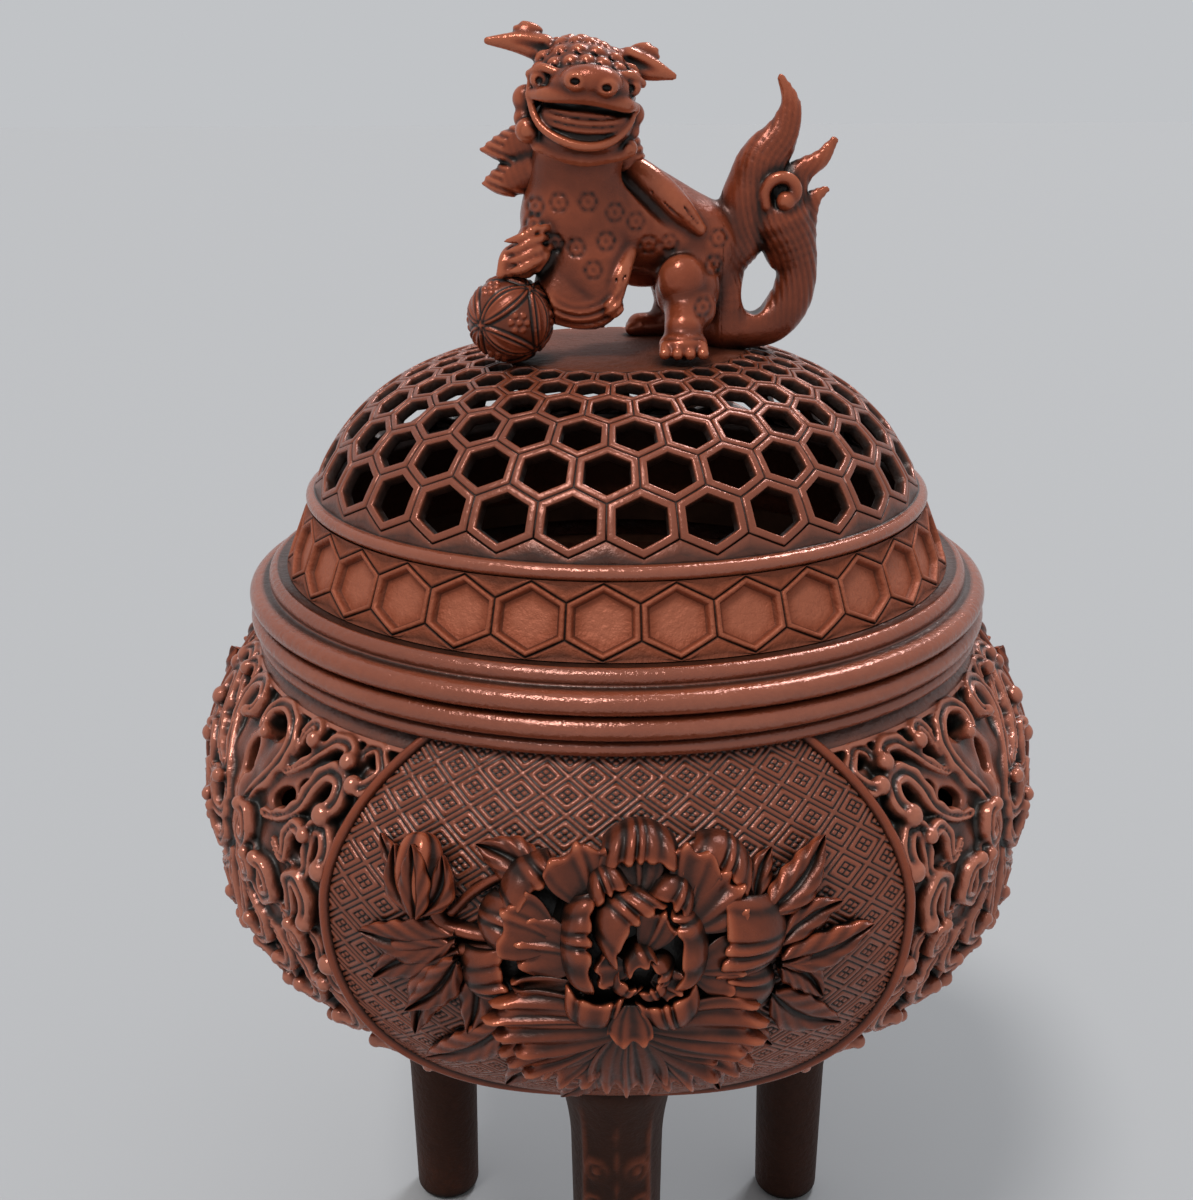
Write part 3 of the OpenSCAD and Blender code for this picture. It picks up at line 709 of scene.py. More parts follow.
def scroll_relief(across, up):
    """Low scrolls down the outer face of a leg, between two raised edges."""
    across = np.abs(across)
    rise = 0.7 * np.exp(-((across - 4.9 + 0.03 * (up - 26)) / 0.45) ** 2)
    rise = np.maximum(rise, 0.6 * np.exp(-(across / 0.4) ** 2) * (0.6 + 0.4 * np.cos(1.4 * up)))
    for x, z, r in LEG_SCROLLS:
        far = np.hypot(across - x, up - z)
        curl = 0.6 + 0.4 * np.cos(np.arctan2(up - z, across - x) - 0.8)
        ring = np.exp(-((far - 0.72 * r) / (0.26 * r)) ** 2) * curl
        rise = np.maximum(rise, np.maximum(ring, np.exp(-(far / (0.3 * r)) ** 2)))
    return rise * np.clip((up - 24) / 3, 0, 1) * np.clip((58 - up) / 6, 0, 1)


def plain_leg():
    """A tapering leg with a rounded foot and a flared top that meets the bowl."""
    flare_z = FLOOR_H - 4
    top_z = FLOOR_H + 9.5
    t = np.linspace(0, 1, 10)
    foot = arc((LEG_FOOT_R - FOOT_ROUND, FOOT_ROUND), FOOT_ROUND, -90, 0, 7)
    flare = np.stack([LEG_TOP_R + LEG_FLARE * t ** 1.8, flare_z + 10 * t], 1)
    shaft_z = np.linspace(FOOT_ROUND, flare_z, 90)[1:-1]
    shaft = np.stack([np.interp(shaft_z, [FOOT_ROUND, flare_z], [LEG_FOOT_R, LEG_TOP_R]), shaft_z], 1)
    top = [(LEG_TOP_R + LEG_FLARE, top_z), (0.02, top_z)]
    verts, quads, wear = lathe([(line, LEG_SHADED_WEAR) for line in ([(0.02, 0)], foot, shaft, flare, top)], 120)
    around = np.arctan2(verts[:, 0], -verts[:, 1]) * LEG_TOP_R
    rise = scroll_relief(around, verts[:, 2]) * (np.hypot(verts[:, 0], verts[:, 1]) > LEG_FOOT_R - 0.5)
    out = 1 + 0.42 * rise / LEG_TOP_R
    verts = verts * np.stack([out, out, np.ones(len(out))], 1)
    return verts, quads, wear + 0.3 * rise


def leg_under_bowl():
    """The leg set on its circle, its top pressed down to the bowl's underside."""
    verts, quads, wear = plain_leg()
    verts = verts + [0, -LEG_CIRCLE_R, 0]
    r = np.minimum(np.hypot(verts[:, 0], verts[:, 1]), BELLY_R - 0.5)
    under = BELLY_Z - LOW_H * (1 - (r / BELLY_R) ** LOW_POWER) ** (1 / LOW_POWER)
    verts[:, 2] = np.minimum(verts[:, 2], under + 0.6)
    return verts, quads, wear


leg_mesh = leg_under_bowl()
for side, side_turn in SIDES:
    add_mesh("cast_leg_" + side, leg_mesh, matte_bronze, "vessel", ("leg_" + side,), side_turn)


# Peony relief: cupped and open petals, veined leaves, a bud and its stems

def sheet_grid(rows, columns):
    """Shares along (0 to 1) and across (-1 to 1) of a petal's grid."""
    return pairs(np.linspace(0, 1, rows), np.linspace(-1, 1, columns))


def headed(place, heading, along, across):
    """Places on the bowl, counted along and across a heading in degrees from right, turning up."""
    angle = np.radians(heading)
    u = place[0] + along * np.cos(angle) - across * np.sin(angle)
    v = place[1] + along * np.sin(angle) + across * np.cos(angle)
    return u, v


def folds(count, t, phase):
    """Broad rounded columns with narrow grooves between them, from -1 to 1, of uneven width and height."""
    t = t + 0.16 * np.sin(2.6 * t + 2.3 * phase) + 0.05 * np.sin(7.0 * t + phase)
    column = 1 - 2 * (0.5 - 0.5 * np.cos(math.pi * count * t + phase)) ** 2
    return column * (0.72 + 0.28 * np.sin(4.3 * t + 3.1 * phase))


def oriented(mesh):
    """Turns all faces of a closed mesh outwards, judged by its signed volume."""
    verts, quads, wear = mesh
    a, b, c, d = [verts[quads[:, k]] for k in range(4)]
    volume = (np.cross(a, b) * c).sum() + (np.cross(a, c) * d).sum()
    if volume < 0:
        flipped = quads[:, ::-1].copy()
        triangles = quads[:, 3] == quads[:, 2]
        flipped[triangles] = quads[triangles][:, [2, 1, 0, 0]]
        quads = flipped
    return verts, quads, wear


def sheet_on_bowl(places, lift, wear, rows, columns, depth=0.8, draw_in=0.05):
    """A grid laid over the bowl and closed into a petal, its underside drawn in below the edge."""
    u, v = places
    under_u = u + draw_in * (u.mean() - u)
    under_v = v + draw_in * (v.mean() - v)
    under = np.maximum(lift - depth, -0.4)
    quads = grid_quads(rows, columns)
    return oriented(thicken(on_bowl(u, v, lift), on_bowl(under_u, under_v, under), quads, wear))


def fan(root, heading, length, width, lifts, pleats, lobes=3, ruffle=0.35, groove=0.28, phase=0.0):
    """An open petal that widens from its root to a rolled, scalloped edge."""
    rows, columns = 22, 10 * pleats + 1
    s, t = sheet_grid(rows, columns)
    lobe = np.cos(math.pi * lobes * t + 1.7 * phase)
    pleat = folds(pleats, t + 0.05 * np.sin(4 * s + phase), phase)
    edge = np.exp(-((s - 0.92) / 0.08) ** 2)
    reach = 1 - 0.22 * t ** 2 + 0.07 * lobe * s ** 2 + 0.02 * pleat * s ** 3
    across = t * width / 2 * (0.3 + 0.7 * np.sin(np.minimum(s / 0.85, 1) * math.pi / 2))
    lift = lifts[0] + (lifts[1] - lifts[0]) * s ** 1.2 + ruffle * lobe * s ** 2
    lift += groove * (0.5 * pleat - 0.5) * (0.3 + 0.7 * s) + 0.3 * edge
    lift -= 0.9 * np.clip((s - 0.92) / 0.08, 0, 1) ** 2
    # The edge term paints the rolled lip lighter: a painted highlight along it, together with the rubbing it
    # takes
    wear = 0.4 + 0.2 * pleat * (0.4 + 0.6 * s) + 0.34 * edge + 0.08 * lobe * s - 0.16 * (1 - s) ** 2
    places = headed(root, heading, s * length * reach, across)
    return sheet_on_bowl(places, np.maximum(lift, 0.15), np.clip(wear, 0.03, 0.95), rows, columns)


def cup(lip, heading, length, width, height, pleats, bow=0.8, drop=0.5, ruffle=0.34, phase=0.0):
    """A petal with its root outside, whose scalloped lip curls over towards the flower's heart."""
    rows, columns = 22, 10 * pleats + 1
    s, t = sheet_grid(rows, columns)
    pleat = folds(pleats, t + 0.06 * np.sin(3 * s + phase), phase)
    crest = 0.28
    fall = np.clip((s - crest) / (1 - crest), 0, 1)
    curl = np.clip((crest - s) / crest, 0, 1)
    edge = np.exp(-(s / 0.09) ** 2)
    lift = height * np.sqrt(1 - 0.995 * fall ** 2) * (1 - 0.22 * t ** 4) - drop * curl ** 2
    lift += ruffle * pleat * np.exp(-((s - 0.25) / 0.4) ** 2) + 0.22 * edge
    along = length * s * (1 - 0.12 * t ** 2) - bow * t ** 2 - 0.3 * pleat * (1 - s) ** 4
    across = t * width / 2 * (0.94 + 0.06 * np.cos(3 * s + phase))
    # The edge term paints the lip lighter: a painted highlight along it, together with the rubbing it takes
    wear = 0.42 + 0.24 * pleat + 0.4 * edge - 0.2 * fall
    places = headed(lip, heading, along, across)
    return sheet_on_bowl(places, np.maximum(lift, 0.1), np.clip(wear, 0.03, 0.95), rows, columns)


def leaf(root, tip, width, lifts=(0.9, 0.7), veins=4, fold=0.7, bend=0.12):
    """A pointed leaf from its root to its tip, with a sunk midrib and slanting veins."""
    rows, columns = 12 * veins + 1, 17
    s, t = sheet_grid(rows, columns)
    across_way = np.array([root[1] - tip[1], tip[0] - root[0]])
    length = np.hypot(*across_way)
    heading = math.degrees(math.atan2(tip[1] - root[1], tip[0] - root[0]))
    side = np.abs(t)
    vein = np.cos(2 * math.pi * veins * (s - 0.9 * side * width / length))
    outline = np.sin(math.pi * np.clip(s, 0.03, 1) ** 0.8) ** 0.75 * (1 - 0.1 * (0.5 - 0.5 * vein) * side)
    across = t * width / 2 * outline + bend * length * np.sin(math.pi * s)
    rib = np.clip(side / 0.16, 0, 1)
    lift = lifts[0] + (lifts[1] - lifts[0]) * s + fold * (0.2 + 0.9 * np.sin(math.pi * side))
    lift += 0.14 * vein * side * (1 - side ** 4) - 0.4 * (1 - rib)
    wear = 0.46 + 0.2 * vein * side - 0.38 * (1 - rib) + 0.24 * side ** 6
    places = headed(root, heading, s * length, across)
    return sheet_on_bowl(places, np.maximum(lift, 0.12), np.clip(wear, 0.04, 0.9), rows, columns, 1.0, 0.1)


def egg(place, heading, length, width, height, grooves, groove=0.1):
    """A closed bud: an egg shape with lengthwise grooves."""
    rows, columns = 25, 72
    a, b = pairs(np.linspace(0.02, math.pi - 0.02, rows), round_angles(columns))
    ridge = 0.5 + 0.5 * np.cos(grooves * b + 0.8 * np.sin(2 * a))
    girth = np.sin(a) ** 0.85 * (1 - groove * ridge)
    along = -np.cos(a) * length / 2 * (1 + 0.12 * np.cos(a) ** 3)
    lift = 0.4 + height / 2 * (1 + girth * np.sin(b))
    u, v = headed(place, heading, along, girth * np.cos(b) * width / 2)
    wear = np.clip(0.72 - 0.6 * ridge ** 2 + 0.15 * np.sin(b), 0.06, 0.9)
    return oriented((on_bowl(u, v, lift), grid_quads(rows, columns, wrap_columns=True), wear))


def stem(points, half_width, height):
    """A round stem through a few places on the bowl."""
    points = np.asarray(points, float)
    steps = np.linspace(0, len(points) - 1, 24)
    path = np.stack([np.interp(steps, np.arange(len(points)), points[:, k]) for k in (0, 1)], 1)
    for _ in range(6):
        path[1:-1] = (path[:-2] + 2 * path[1:-1] + path[2:]) / 4
    return oriented(bead_along(path, half_width, height, 0.3, 0.6))


def mound(place, half_u, half_v, height):
    """A swelling under the petals, painted near black as the shade between them."""
    rings, around = 12, 60
    share, angle = pairs(np.linspace(0.01, 1, rings), round_angles(around))
    u = place[0] + half_u * share * np.cos(angle)
    v = place[1] + half_v * share * np.sin(angle)
    lift = height * (1 - share ** 4)
    quads = grid_quads(rings, around, wrap_columns=True)
    under = np.full(len(u), -0.4)
    # Wear of 0.05 is painted shade: it paints the mound near black where it shows between the petals
    return oriented(thicken(on_bowl(u, v, lift), on_bowl(u, v, under), quads, np.full(len(u), 0.05)))


def peony_relief():
    """The whole flower of one medallion, with its leaves, bud and stems."""
    open_petals = [
        fan((0.8, -5.6), 184, 13.2, 8.0, (4.0, 3.8), 6, 4, 0.6, 0.4, phase=0.4),
        fan((2.0, -5.8), -12, 12.8, 8.4, (4.0, 3.8), 6, 4, 0.6, 0.4, phase=1.1),
        fan((0.0, -6.8), 206, 13.0, 7.0, (3.2, 2.8), 5, 4, 0.6, 0.4, phase=1.9),
        fan((2.8, -6.8), -32, 13.0, 7.0, (3.2, 2.8), 5, 4, 0.6, 0.4, phase=2.6),
        fan((-0.2, -7.6), 232, 11.4, 6.4, (2.6, 2.0), 5, 3, 0.5, 0.35, phase=2.2),
        fan((2.8, -7.8), -58, 11.4, 6.4, (2.6, 2.0), 5, 3, 0.5, 0.35, phase=0.8),
        fan((1.2, -7.0), 270, 10.6, 8.6, (3.4, 2.4), 6, 4, 0.45, 0.35, phase=0.2),
        fan((1.4, -3.2), 268, 4.4, 4.4, (4.4, 5.0), 4, 2, 0.3, phase=1.3),
        fan((-3.2, 1.4), 176, 6.6, 6.4, (3.6, 3.0), 4, 3, 0.5, phase=0.3),
        fan((-3.4, -2.0), 204, 7.6, 5.8, (3.4, 2.8), 4, 3, 0.5, phase=1.7),
        fan((7.4, 0.0), -8, 5.2, 6.6, (3.6, 3.2), 4, 3, 0.4, phase=0.5),
        fan((7.2, 4.0), 34, 6.2, 6.0, (3.6, 3.6), 4, 3, 0.4, phase=1.2),
        fan((1.8, 6.6), 92, 4.6, 6.4, (3.6, 3.6), 4, 3, 0.3, phase=0.7),
        fan((-2.6, 6.0), 112, 5.4, 6.6, (3.4, 4.6), 4, 2, 0.4, phase=0.9),
        fan((6.6, 6.0), 66, 5.2, 5.4, (3.4, 4.2), 4, 2, 0.3, phase=1.5),
        fan((-6.0, 2.4), 158, 5.6, 6.4, (3.0, 4.0), 4, 2, 0.4, phase=0.6),
    ]
    cups = [
        cup((2.4, 9.8), 90, 4.6, 8.6, 4.8, 5, 1.2, phase=0.0),
        cup((10.4, 8.6), 62, 4.2, 7.4, 3.8, 4, 0.9, phase=0.5),
        cup((-8.2, 6.8), 132, 4.0, 7.4, 4.0, 4, 0.9, phase=1.1),
        cup((-10.0, 3.4), 172, 4.6, 6.0, 3.4, 3, 0.6, phase=0.2),
        cup((-11.4, -2.0), 190, 5.4, 6.6, 2.9, 4, 0.6, phase=1.8),
        cup((10.8, 2.4), -4, 7.2, 8.6, 4.0, 5, 0.9, phase=0.8),
        cup((11.0, -3.2), -14, 6.0, 5.8, 3.4, 3, 0.7, phase=2.0),
        cup((-2.2, -2.9), 258, 4.6, 6.2, 5.0, 4, 0.9, phase=1.4),
        cup((5.0, -3.2), -72, 4.6, 6.2, 5.0, 4, 0.9, phase=0.3),
    ]
    heart = [
        cup((-2.5, 2.6), 180, 3.4, 9.4, 5.7, 5, 0.5, phase=0.4),
        cup((1.2, 4.4), 138, 4.2, 7.6, 6.3, 5, 1.6, phase=0.9),
        cup((6.2, 2.0), 4, 3.2, 8.0, 5.4, 4, 0.8, phase=1.6),
        cup((-0.6, 7.2), 118, 3.2, 4.2, 5.6, 3, 0.6, phase=0.1),
        cup((5.2, 6.2), 58, 3.2, 4.8, 5.2, 3, 0.6, phase=0.7),
        cup((2.2, 1.2), 112, 2.2, 3.6, 5.6, 3, 0.5, 0.3, 0.22, phase=1.2),
        cup((4.0, 0.2), 20, 2.0, 3.4, 5.0, 3, 0.5, 0.3, 0.22, phase=0.6),
        cup((1.0, -0.8), 228, 2.2, 3.4, 5.0, 3, 0.5, 0.3, 0.22, phase=1.9),
        cup((3.4, -1.4), -58, 2.2, 3.4, 4.8, 3, 0.5, 0.3, 0.22, phase=0.2),
        fan((2.6, 2.2), 62, 3.8, 3.8, (4.2, 5.0), 3, 2, 0.25, phase=0.5),
        fan((1.4, 0.6), 186, 3.4, 3.2, (4.2, 4.6), 3, 2, 0.25, phase=1.4),
        fan((3.4, -0.4), -24, 3.2, 3.2, (4.0, 4.4), 3, 2, 0.25, phase=0.9),
        mound((2.0, 0.6), 10.5, 9.5, 2.8),
        mound((1.2, -8.0), 9.0, 7.0, 1.6),
        mound((-9.0, 0.5), 6.0, 7.0, 1.2),
        mound((12.0, 0.5), 5.0, 7.0, 1.2),
    ]
    leaves = [
        leaf((-7.6, 7.4), (-15.2, 10.6), 5.0, (1.4, 0.9), 4, 0.8, -0.08),
        leaf((15.4, 4.0), (22.9, 10.4), 4.8, (1.6, 1.4), 4, 0.9, -0.08),
        leaf((14.4, 5.0), (16.9, 10.2), 3.2, (1.0, 0.8), 3, 0.6, 0.08),
        leaf((16.6, 0.6), (24.2, 3.6), 3.6, (1.2, 1.0), 3, 0.7, 0.06),
        leaf((16.8, -1.2), (27.8, 0.4), 4.8, (1.5, 1.0), 4, 0.8, -0.1),
        leaf((17.0, -1.8), (22.2, -7.0), 4.4, (1.3, 0.9), 4, 0.8, 0.1),
        leaf((16.4, -5.6), (25.8, -12.2), 5.2, (0.9, 0.6), 4, 0.6, -0.1),
        leaf((11.0, -9.6), (17.2, -12.8), 4.2, (1.0, 0.7), 3, 0.7, 0.06),
        leaf((-16.6, 1.2), (-28.4, -0.8), 5.6, (1.2, 0.8), 5, 0.7, 0.1),
        leaf((-16.4, 0.0), (-27.2, -6.4), 5.4, (1.0, 0.7), 4, 0.7, -0.06),
        leaf((-16.2, -0.8), (-22.8, -8.6), 4.2, (1.9, 1.5), 4, 0.9, 0.08),
        leaf((-15.8, -1.4), (-22.8, -12.8), 4.8, (1.2, 0.8), 4, 0.8, -0.1),
        leaf((-14.6, -2.2), (-16.2, -11.0), 4.4, (1.0, 0.7), 3, 0.7, 0.06),
        leaf((-11.6, -8.6), (-22.8, -17.2), 5.0, (1.2, 0.7), 5, 0.7, 0.08),
        leaf((-4.6, -13.6), (-13.4, -20.2), 5.0, (1.2, 0.6), 4, 0.7, -0.1),
        leaf((-2.4, -15.6), (-7.0, -23.0), 4.2, (0.9, 0.5), 4, 0.6, 0.08),
        leaf((6.6, -14.6), (12.8, -22.0), 4.6, (1.0, 0.5), 4, 0.6, 0.1),
    ]
    sprig = [
        egg((-20.8, 7.6), 98, 7.6, 5.4, 4.2, 5, 0.16),
        leaf((-20.2, 3.4), (-23.4, 9.4), 3.4, (2.8, 3.2), 3, 0.8, 0.16),
        leaf((-20.0, 3.2), (-20.6, 9.8), 3.6, (3.6, 5.0), 3, 0.7, 0.0),
        leaf((-19.8, 3.4), (-17.8, 9.2), 3.4, (2.8, 3.2), 3, 0.8, -0.16),
        leaf((-22.6, 6.2), (-27.0, 9.8), 2.4, (0.8, 0.8), 3, 0.5, 0.1),
        stem([(-20.0, 4.2), (-18.4, 1.8), (-14.0, 1.4), (-9.0, 2.0)], 0.8, 1.6),
        stem([(-17.6, 3.2), (-15.6, 5.6), (-12.4, 7.8), (-9.0, 8.0)], 0.6, 1.3),
        stem([(-16.6, -0.6), (-12.0, 0.4), (-6.0, 0.0)], 0.8, 1.6),
        stem([(17.0, -0.8), (13.0, 1.2), (8.0, 2.0)], 0.8, 1.6),
    ]
    return join(open_petals + cups + heart + leaves + sprig)


peony_mesh = peony_relief()
mirrored_peony = (peony_mesh[0] * [-1, 1, 1], peony_mesh[1][:, ::-1], peony_mesh[2])
for side, side_turn in SIDES:
    side_mesh = mirrored_peony if side == "back_right" else peony_mesh
    add_mesh("peony_relief_" + side, side_mesh, relief_bronze, "vessel",
             ("peony_" + side,), side_turn)


# Sculpted forms, kept as grids of signed distances and turned into meshes

def soft_least(a, b, soft):
    """The smaller of two distances, blended where they are close."""
    share = np.clip(0.5 + 0.5 * (b - a) / soft, 0, 1)
    return b + share * (a - b) - soft * share * (1 - share)


def spline(knots, pieces):
    """A smooth line through knots, each stretch cut into pieces."""
    knots = np.asarray(knots, float)
    padded = np.concatenate([[2 * knots[0] - knots[1]], knots, [2 * knots[-1] - knots[-2]]])
    line = []
    for a, b, c, d in zip(padded[:-3], padded[1:-2], padded[2:-1], padded[3:]):
        for t in np.arange(pieces) / pieces:
            bend = (2 * a - 5 * b + 4 * c - d) * t ** 2 + (3 * b - a - 3 * c + d) * t ** 3
            line.append(b + 0.5 * ((c - a) * t + bend))
    return np.array(line + [knots[-1]])


class Clay:
    """A block of clay: forms are added and cut with soft seams, and marks are pressed into it."""

    def __init__(self, low, high, step):
        self.low = np.array(low, float)
        self.step = step
        self.axes = [np.arange(a, b + step, step) for a, b in zip(low, high)]
        self.field = np.full([len(a) for a in self.axes], 3.0, np.float32)

    def window(self, low, high, margin=2.0):
        """The part of the grid between two corners, with its coordinates."""
        spans, places = [], []
        for k in range(3):
            first = int(np.searchsorted(self.axes[k], low[k] - margin))
            last = int(np.searchsorted(self.axes[k], high[k] + margin)) + 1
            spans.append(slice(first, last))
            shape = [1, 1, 1]
            shape[k] = -1
            places.append(self.axes[k][first:last].reshape(shape))
        return tuple(spans), places

    def merge(self, span, distance, soft, cut):
        """Adds a form to a part of the grid, or cuts it out."""
        old = self.field[span]
        if cut:
            self.field[span] = -soft_least(-old, distance, soft)
        else:
            self.field[span] = soft_least(old, distance, soft)

    def ball(self, centre, radii, soft=0.8, cut=False):
        """An egg shape with a radius along each axis."""
        radii = np.broadcast_to(radii, 3).astype(float)
        centre = np.asarray(centre, float)
        span, places = self.window(centre - radii, centre + radii)
        scaled = [(p - c) / r for p, c, r in zip(places, centre, radii)]
        outer = np.sqrt(sum(q ** 2 for q in scaled))
        inner = np.sqrt(sum((q / r) ** 2 for q, r in zip(scaled, radii)))
        self.merge(span, outer * (outer - 1) / np.maximum(inner, 1e-6), soft, cut)

    def bar(self, points, radii, soft=0.8, cut=False, flat=1.0):
        """A round bar through places, with a radius at each; flat above 1 thins it along y."""
        points = np.asarray(points, float)
        radii = np.broadcast_to(radii, len(points)).astype(float)
        if 2 < len(points) < 10:
            line = spline(np.column_stack([points, radii]), 5)
            points, radii = line[:, :3], np.maximum(line[:, 3], 0.05)
        reach = radii.max()
        span, places = self.window(points.min(0) - reach, points.max(0) + reach)
        distance = 1e3
        for a, b, ra, rb in zip(points[:-1], points[1:], radii[:-1], radii[1:]):
            line = b - a
            offset = [p - c for p, c in zip(places, a)]
            t = sum(o * l for o, l in zip(offset, line)) / max(line @ line, 1e-9)
            t = np.clip(t, 0, 1)
            gap = [o - t * l for o, l in zip(offset, line)]
            far = np.sqrt(gap[0] ** 2 + (flat * gap[1]) ** 2 + gap[2] ** 2)
            distance = np.minimum(distance, far - (ra + (rb - ra) * t))
        self.merge(span, distance, soft, cut)

    def press(self, low, high, mark):
        """Sinks or raises the skin inside a box by a mark, a function of place in millimetres."""
        span, places = self.window(low, high, 0)
        self.field[span] += mark(*places)

    def sample(self, field, verts):
        """Values of a field at vertices."""
        place = (verts - self.low) / self.step
        base = np.clip(np.floor(place).astype(int), 0, np.array(field.shape) - 2)
        share = np.clip(place - base, 0, 1)
        total = np.zeros(len(verts))
        for corner in np.ndindex(2, 2, 2):
            weight = np.prod(np.where(corner, share, 1 - share), axis=1)
            index = base + corner
            total += weight * field[index[:, 0], index[:, 1], index[:, 2]]
        return total

    def mesh(self, passes=8, gain=0.55, cut=-9.0):
        """The skin as a mesh, where cut is below 0; wear is high on ridges and low in hollows."""
        grid = openvdb.FloatGrid(3.0)
        grid.copyFromArray(np.maximum(self.field, cut).astype(np.float32))
        verts, quads = grid.convertToQuads(0.0)
        verts = verts.astype(float) * self.step + self.low
        smooth = self.field.copy()
        for _ in range(passes):
            for axis in range(3):
                smooth = (np.roll(smooth, 1, axis) + 2 * smooth + np.roll(smooth, -1, axis)) / 4
        wear = np.clip(0.5 + gain * self.sample(smooth, verts) / self.step, 0.03, 0.95)
        return oriented((verts, quads.astype(int), wear))


# Lion: places are counted from the middle of the crown's top, x right, y back, h up

# Blossoms on the coat: place across and up
RINGS = [(-9.4, 17.3), (-6.6, 17.8), (-9.6, 15.4), (-4.6, 12.7), (-1.1, 13.4), (-0.1, 16.6), (2.4, 15.5),
         (-3.2, 17.9), (3.9, 12.7), (6.4, 12.8), (-2.6, 10.2), (-7.2, 13.2), (10.4, 5.6), (11.8, 10.2),
         (12.4, 13.2)]
RING_R = 0.95
SEAM_X = 13.0
BALL_R = 5.2
BALL_PLACE = np.array([-12.5, -10.8, 4.54])


def spots(x, y, h):
    """Small ringed blossoms pressed into the lion's coat."""
    mark = 0.0
    for cx, ch in RINGS:
        far = np.hypot(x - cx, h - ch)
        turn = np.arctan2(h - ch, x - cx)
        ring = np.exp(-((far - RING_R) / 0.24) ** 2)
        mark = mark + 0.26 * ring * (0.75 + 0.25 * np.cos(6 * turn)) + 0.2 * np.exp(-(far / 0.3) ** 2)
    return mark * (np.abs(y + 1) > 2)


def nearest(path, a, v):
    """Distance from a flat path, share of the way along it, and the side, of every place."""
    far, along, side = 1e3, 0.0, 0.0
    last = len(path) - 1
    for k, (p, q) in enumerate(zip(path[:-1], path[1:])):
        la, lv = q - p
        t = np.clip(((a - p[0]) * la + (v - p[1]) * lv) / max(la * la + lv * lv, 1e-9), 0, 1)
        gap = np.hypot(a - p[0] - t * la, v - p[1] - t * lv)
        closer = gap < far
        along = np.where(closer, (k + t) / last, along)
        side = np.where(closer, np.sign(la * (v - p[1]) - lv * (a - p[0])), side)
        far = np.where(closer, gap, far)
    return far, along, side


def open_ring(centre, radius, start, end, count):
    """Places round a centre in the x, h plane, from one angle to another in radians."""
    a = np.linspace(start, end, count)
    return np.asarray(centre) + np.stack([radius * np.cos(a), np.zeros(count), radius * np.sin(a)], 1)


def trunk(clay):
    """Chest, back, rump and neck."""
    clay.bar([(-4.6, -4, 15.2), (3.2, -2.4, 14.8), (9.6, -1, 12)], [6.5, 5.6, 5.2], 1.5)
    clay.ball((10.4, -0.4, 11.5), (4.6, 5.2, 5.4), 1.5)
    clay.bar([(-4.8, -4.2, 16), (-4.2, -5.0, 27.0)], [6.4, 5.2], 1.5)
    clay.bar([(0.5, -1.5, 21.5), (5.5, -0.8, 18.6), (11.0, 0, 15.6)], [2.2, 2.0, 1.6], 1.4)
    clay.ball((3.4, 1.5, 9.6), (4.6, 3.6, 3.0), 1.2)


def forelegs(clay):
    """The near foreleg bends back to the ball, and the far paw lies on it under ruffled fur."""
    clay.ball((-3.2, -7.0, 12.4), (4.0, 3.4, 4.4), 1.2)
    clay.ball((-5.2, -8.4, 8.2), (4.4, 2.8, 4.2), 1.8)
    clay.bar([(-2.7, -8.0, 10.4), (-1.7, -9.0, 6.6), (-3.4, -9.4, 5.4), (-7.4, -9.4, 6.2)],
             [3.3, 2.7, 2.5, 2.4], 2.0)
    clay.bar([(-8.0, -6.4, 14.2), (-9.8, -9.0, 12.4), (-11.2, -10.9, 10.8)], [3.1, 2.4, 1.9], 1.0)
    for k in range(5):
        x = -13.2 + 1.05 * k
        claw = (x - 0.2, -12.6 + 0.25 * k, 9.9 + 0.15 * k)
        clay.bar([claw, (x + 0.5, -11.4, 11.9), (x + 1.6, -9.2, 12.9 + 0.1 * k)], [0.55, 0.8, 0.5], 0.25)
    for k in range(4):
        drop = 1.15 * k
        tip = (-12.8 + 0.25 * (k % 2), -11.8 - 0.3 * k, 13.6 - drop)
        tuft = [(-7.4 - 0.2 * k, -9.8, 14.9 - drop), (-9.0, -11.4 - 0.3 * k, 15.0 - drop),
                (-11.0, -12.0 - 0.35 * k, 14.0 - drop), tip]
        clay.bar(tuft, [0.3, 0.62, 0.58, 0.22], 0.12)
    clay.bar([(1.6, -8.0, 11.8), (0.6, -10.2, 9.4), (-0.2, -11.0, 6.8)], [0.9, 1.1, 0.9], 0.5)
    parting = np.array([(1.4, -9.0, 11.2), (0.5, -11.3, 9.0), (-0.2, -12.0, 7.0)])
    for shift in (-0.45, 0.35):
        clay.bar(parting + [shift, 0, 0], 0.16, 0.15, cut=True)
    clay.ball((-0.3, -11.4, 5.9), 1.2, 0.3)

    def fur(x, _, h):
        far = np.hypot(x + 4.2, h - 10.6)
        fade = np.clip((far - 3.4) / 2, 0, 1) * np.clip((9.4 - h) / 3, 0, 1) * np.clip((x + 9) / 3, 0, 1)
        return 0.15 * fade * np.cos(2 * math.pi * far / 0.95)

    clay.press((-10, -14, 1.5), (2, -5, 9.4), fur)


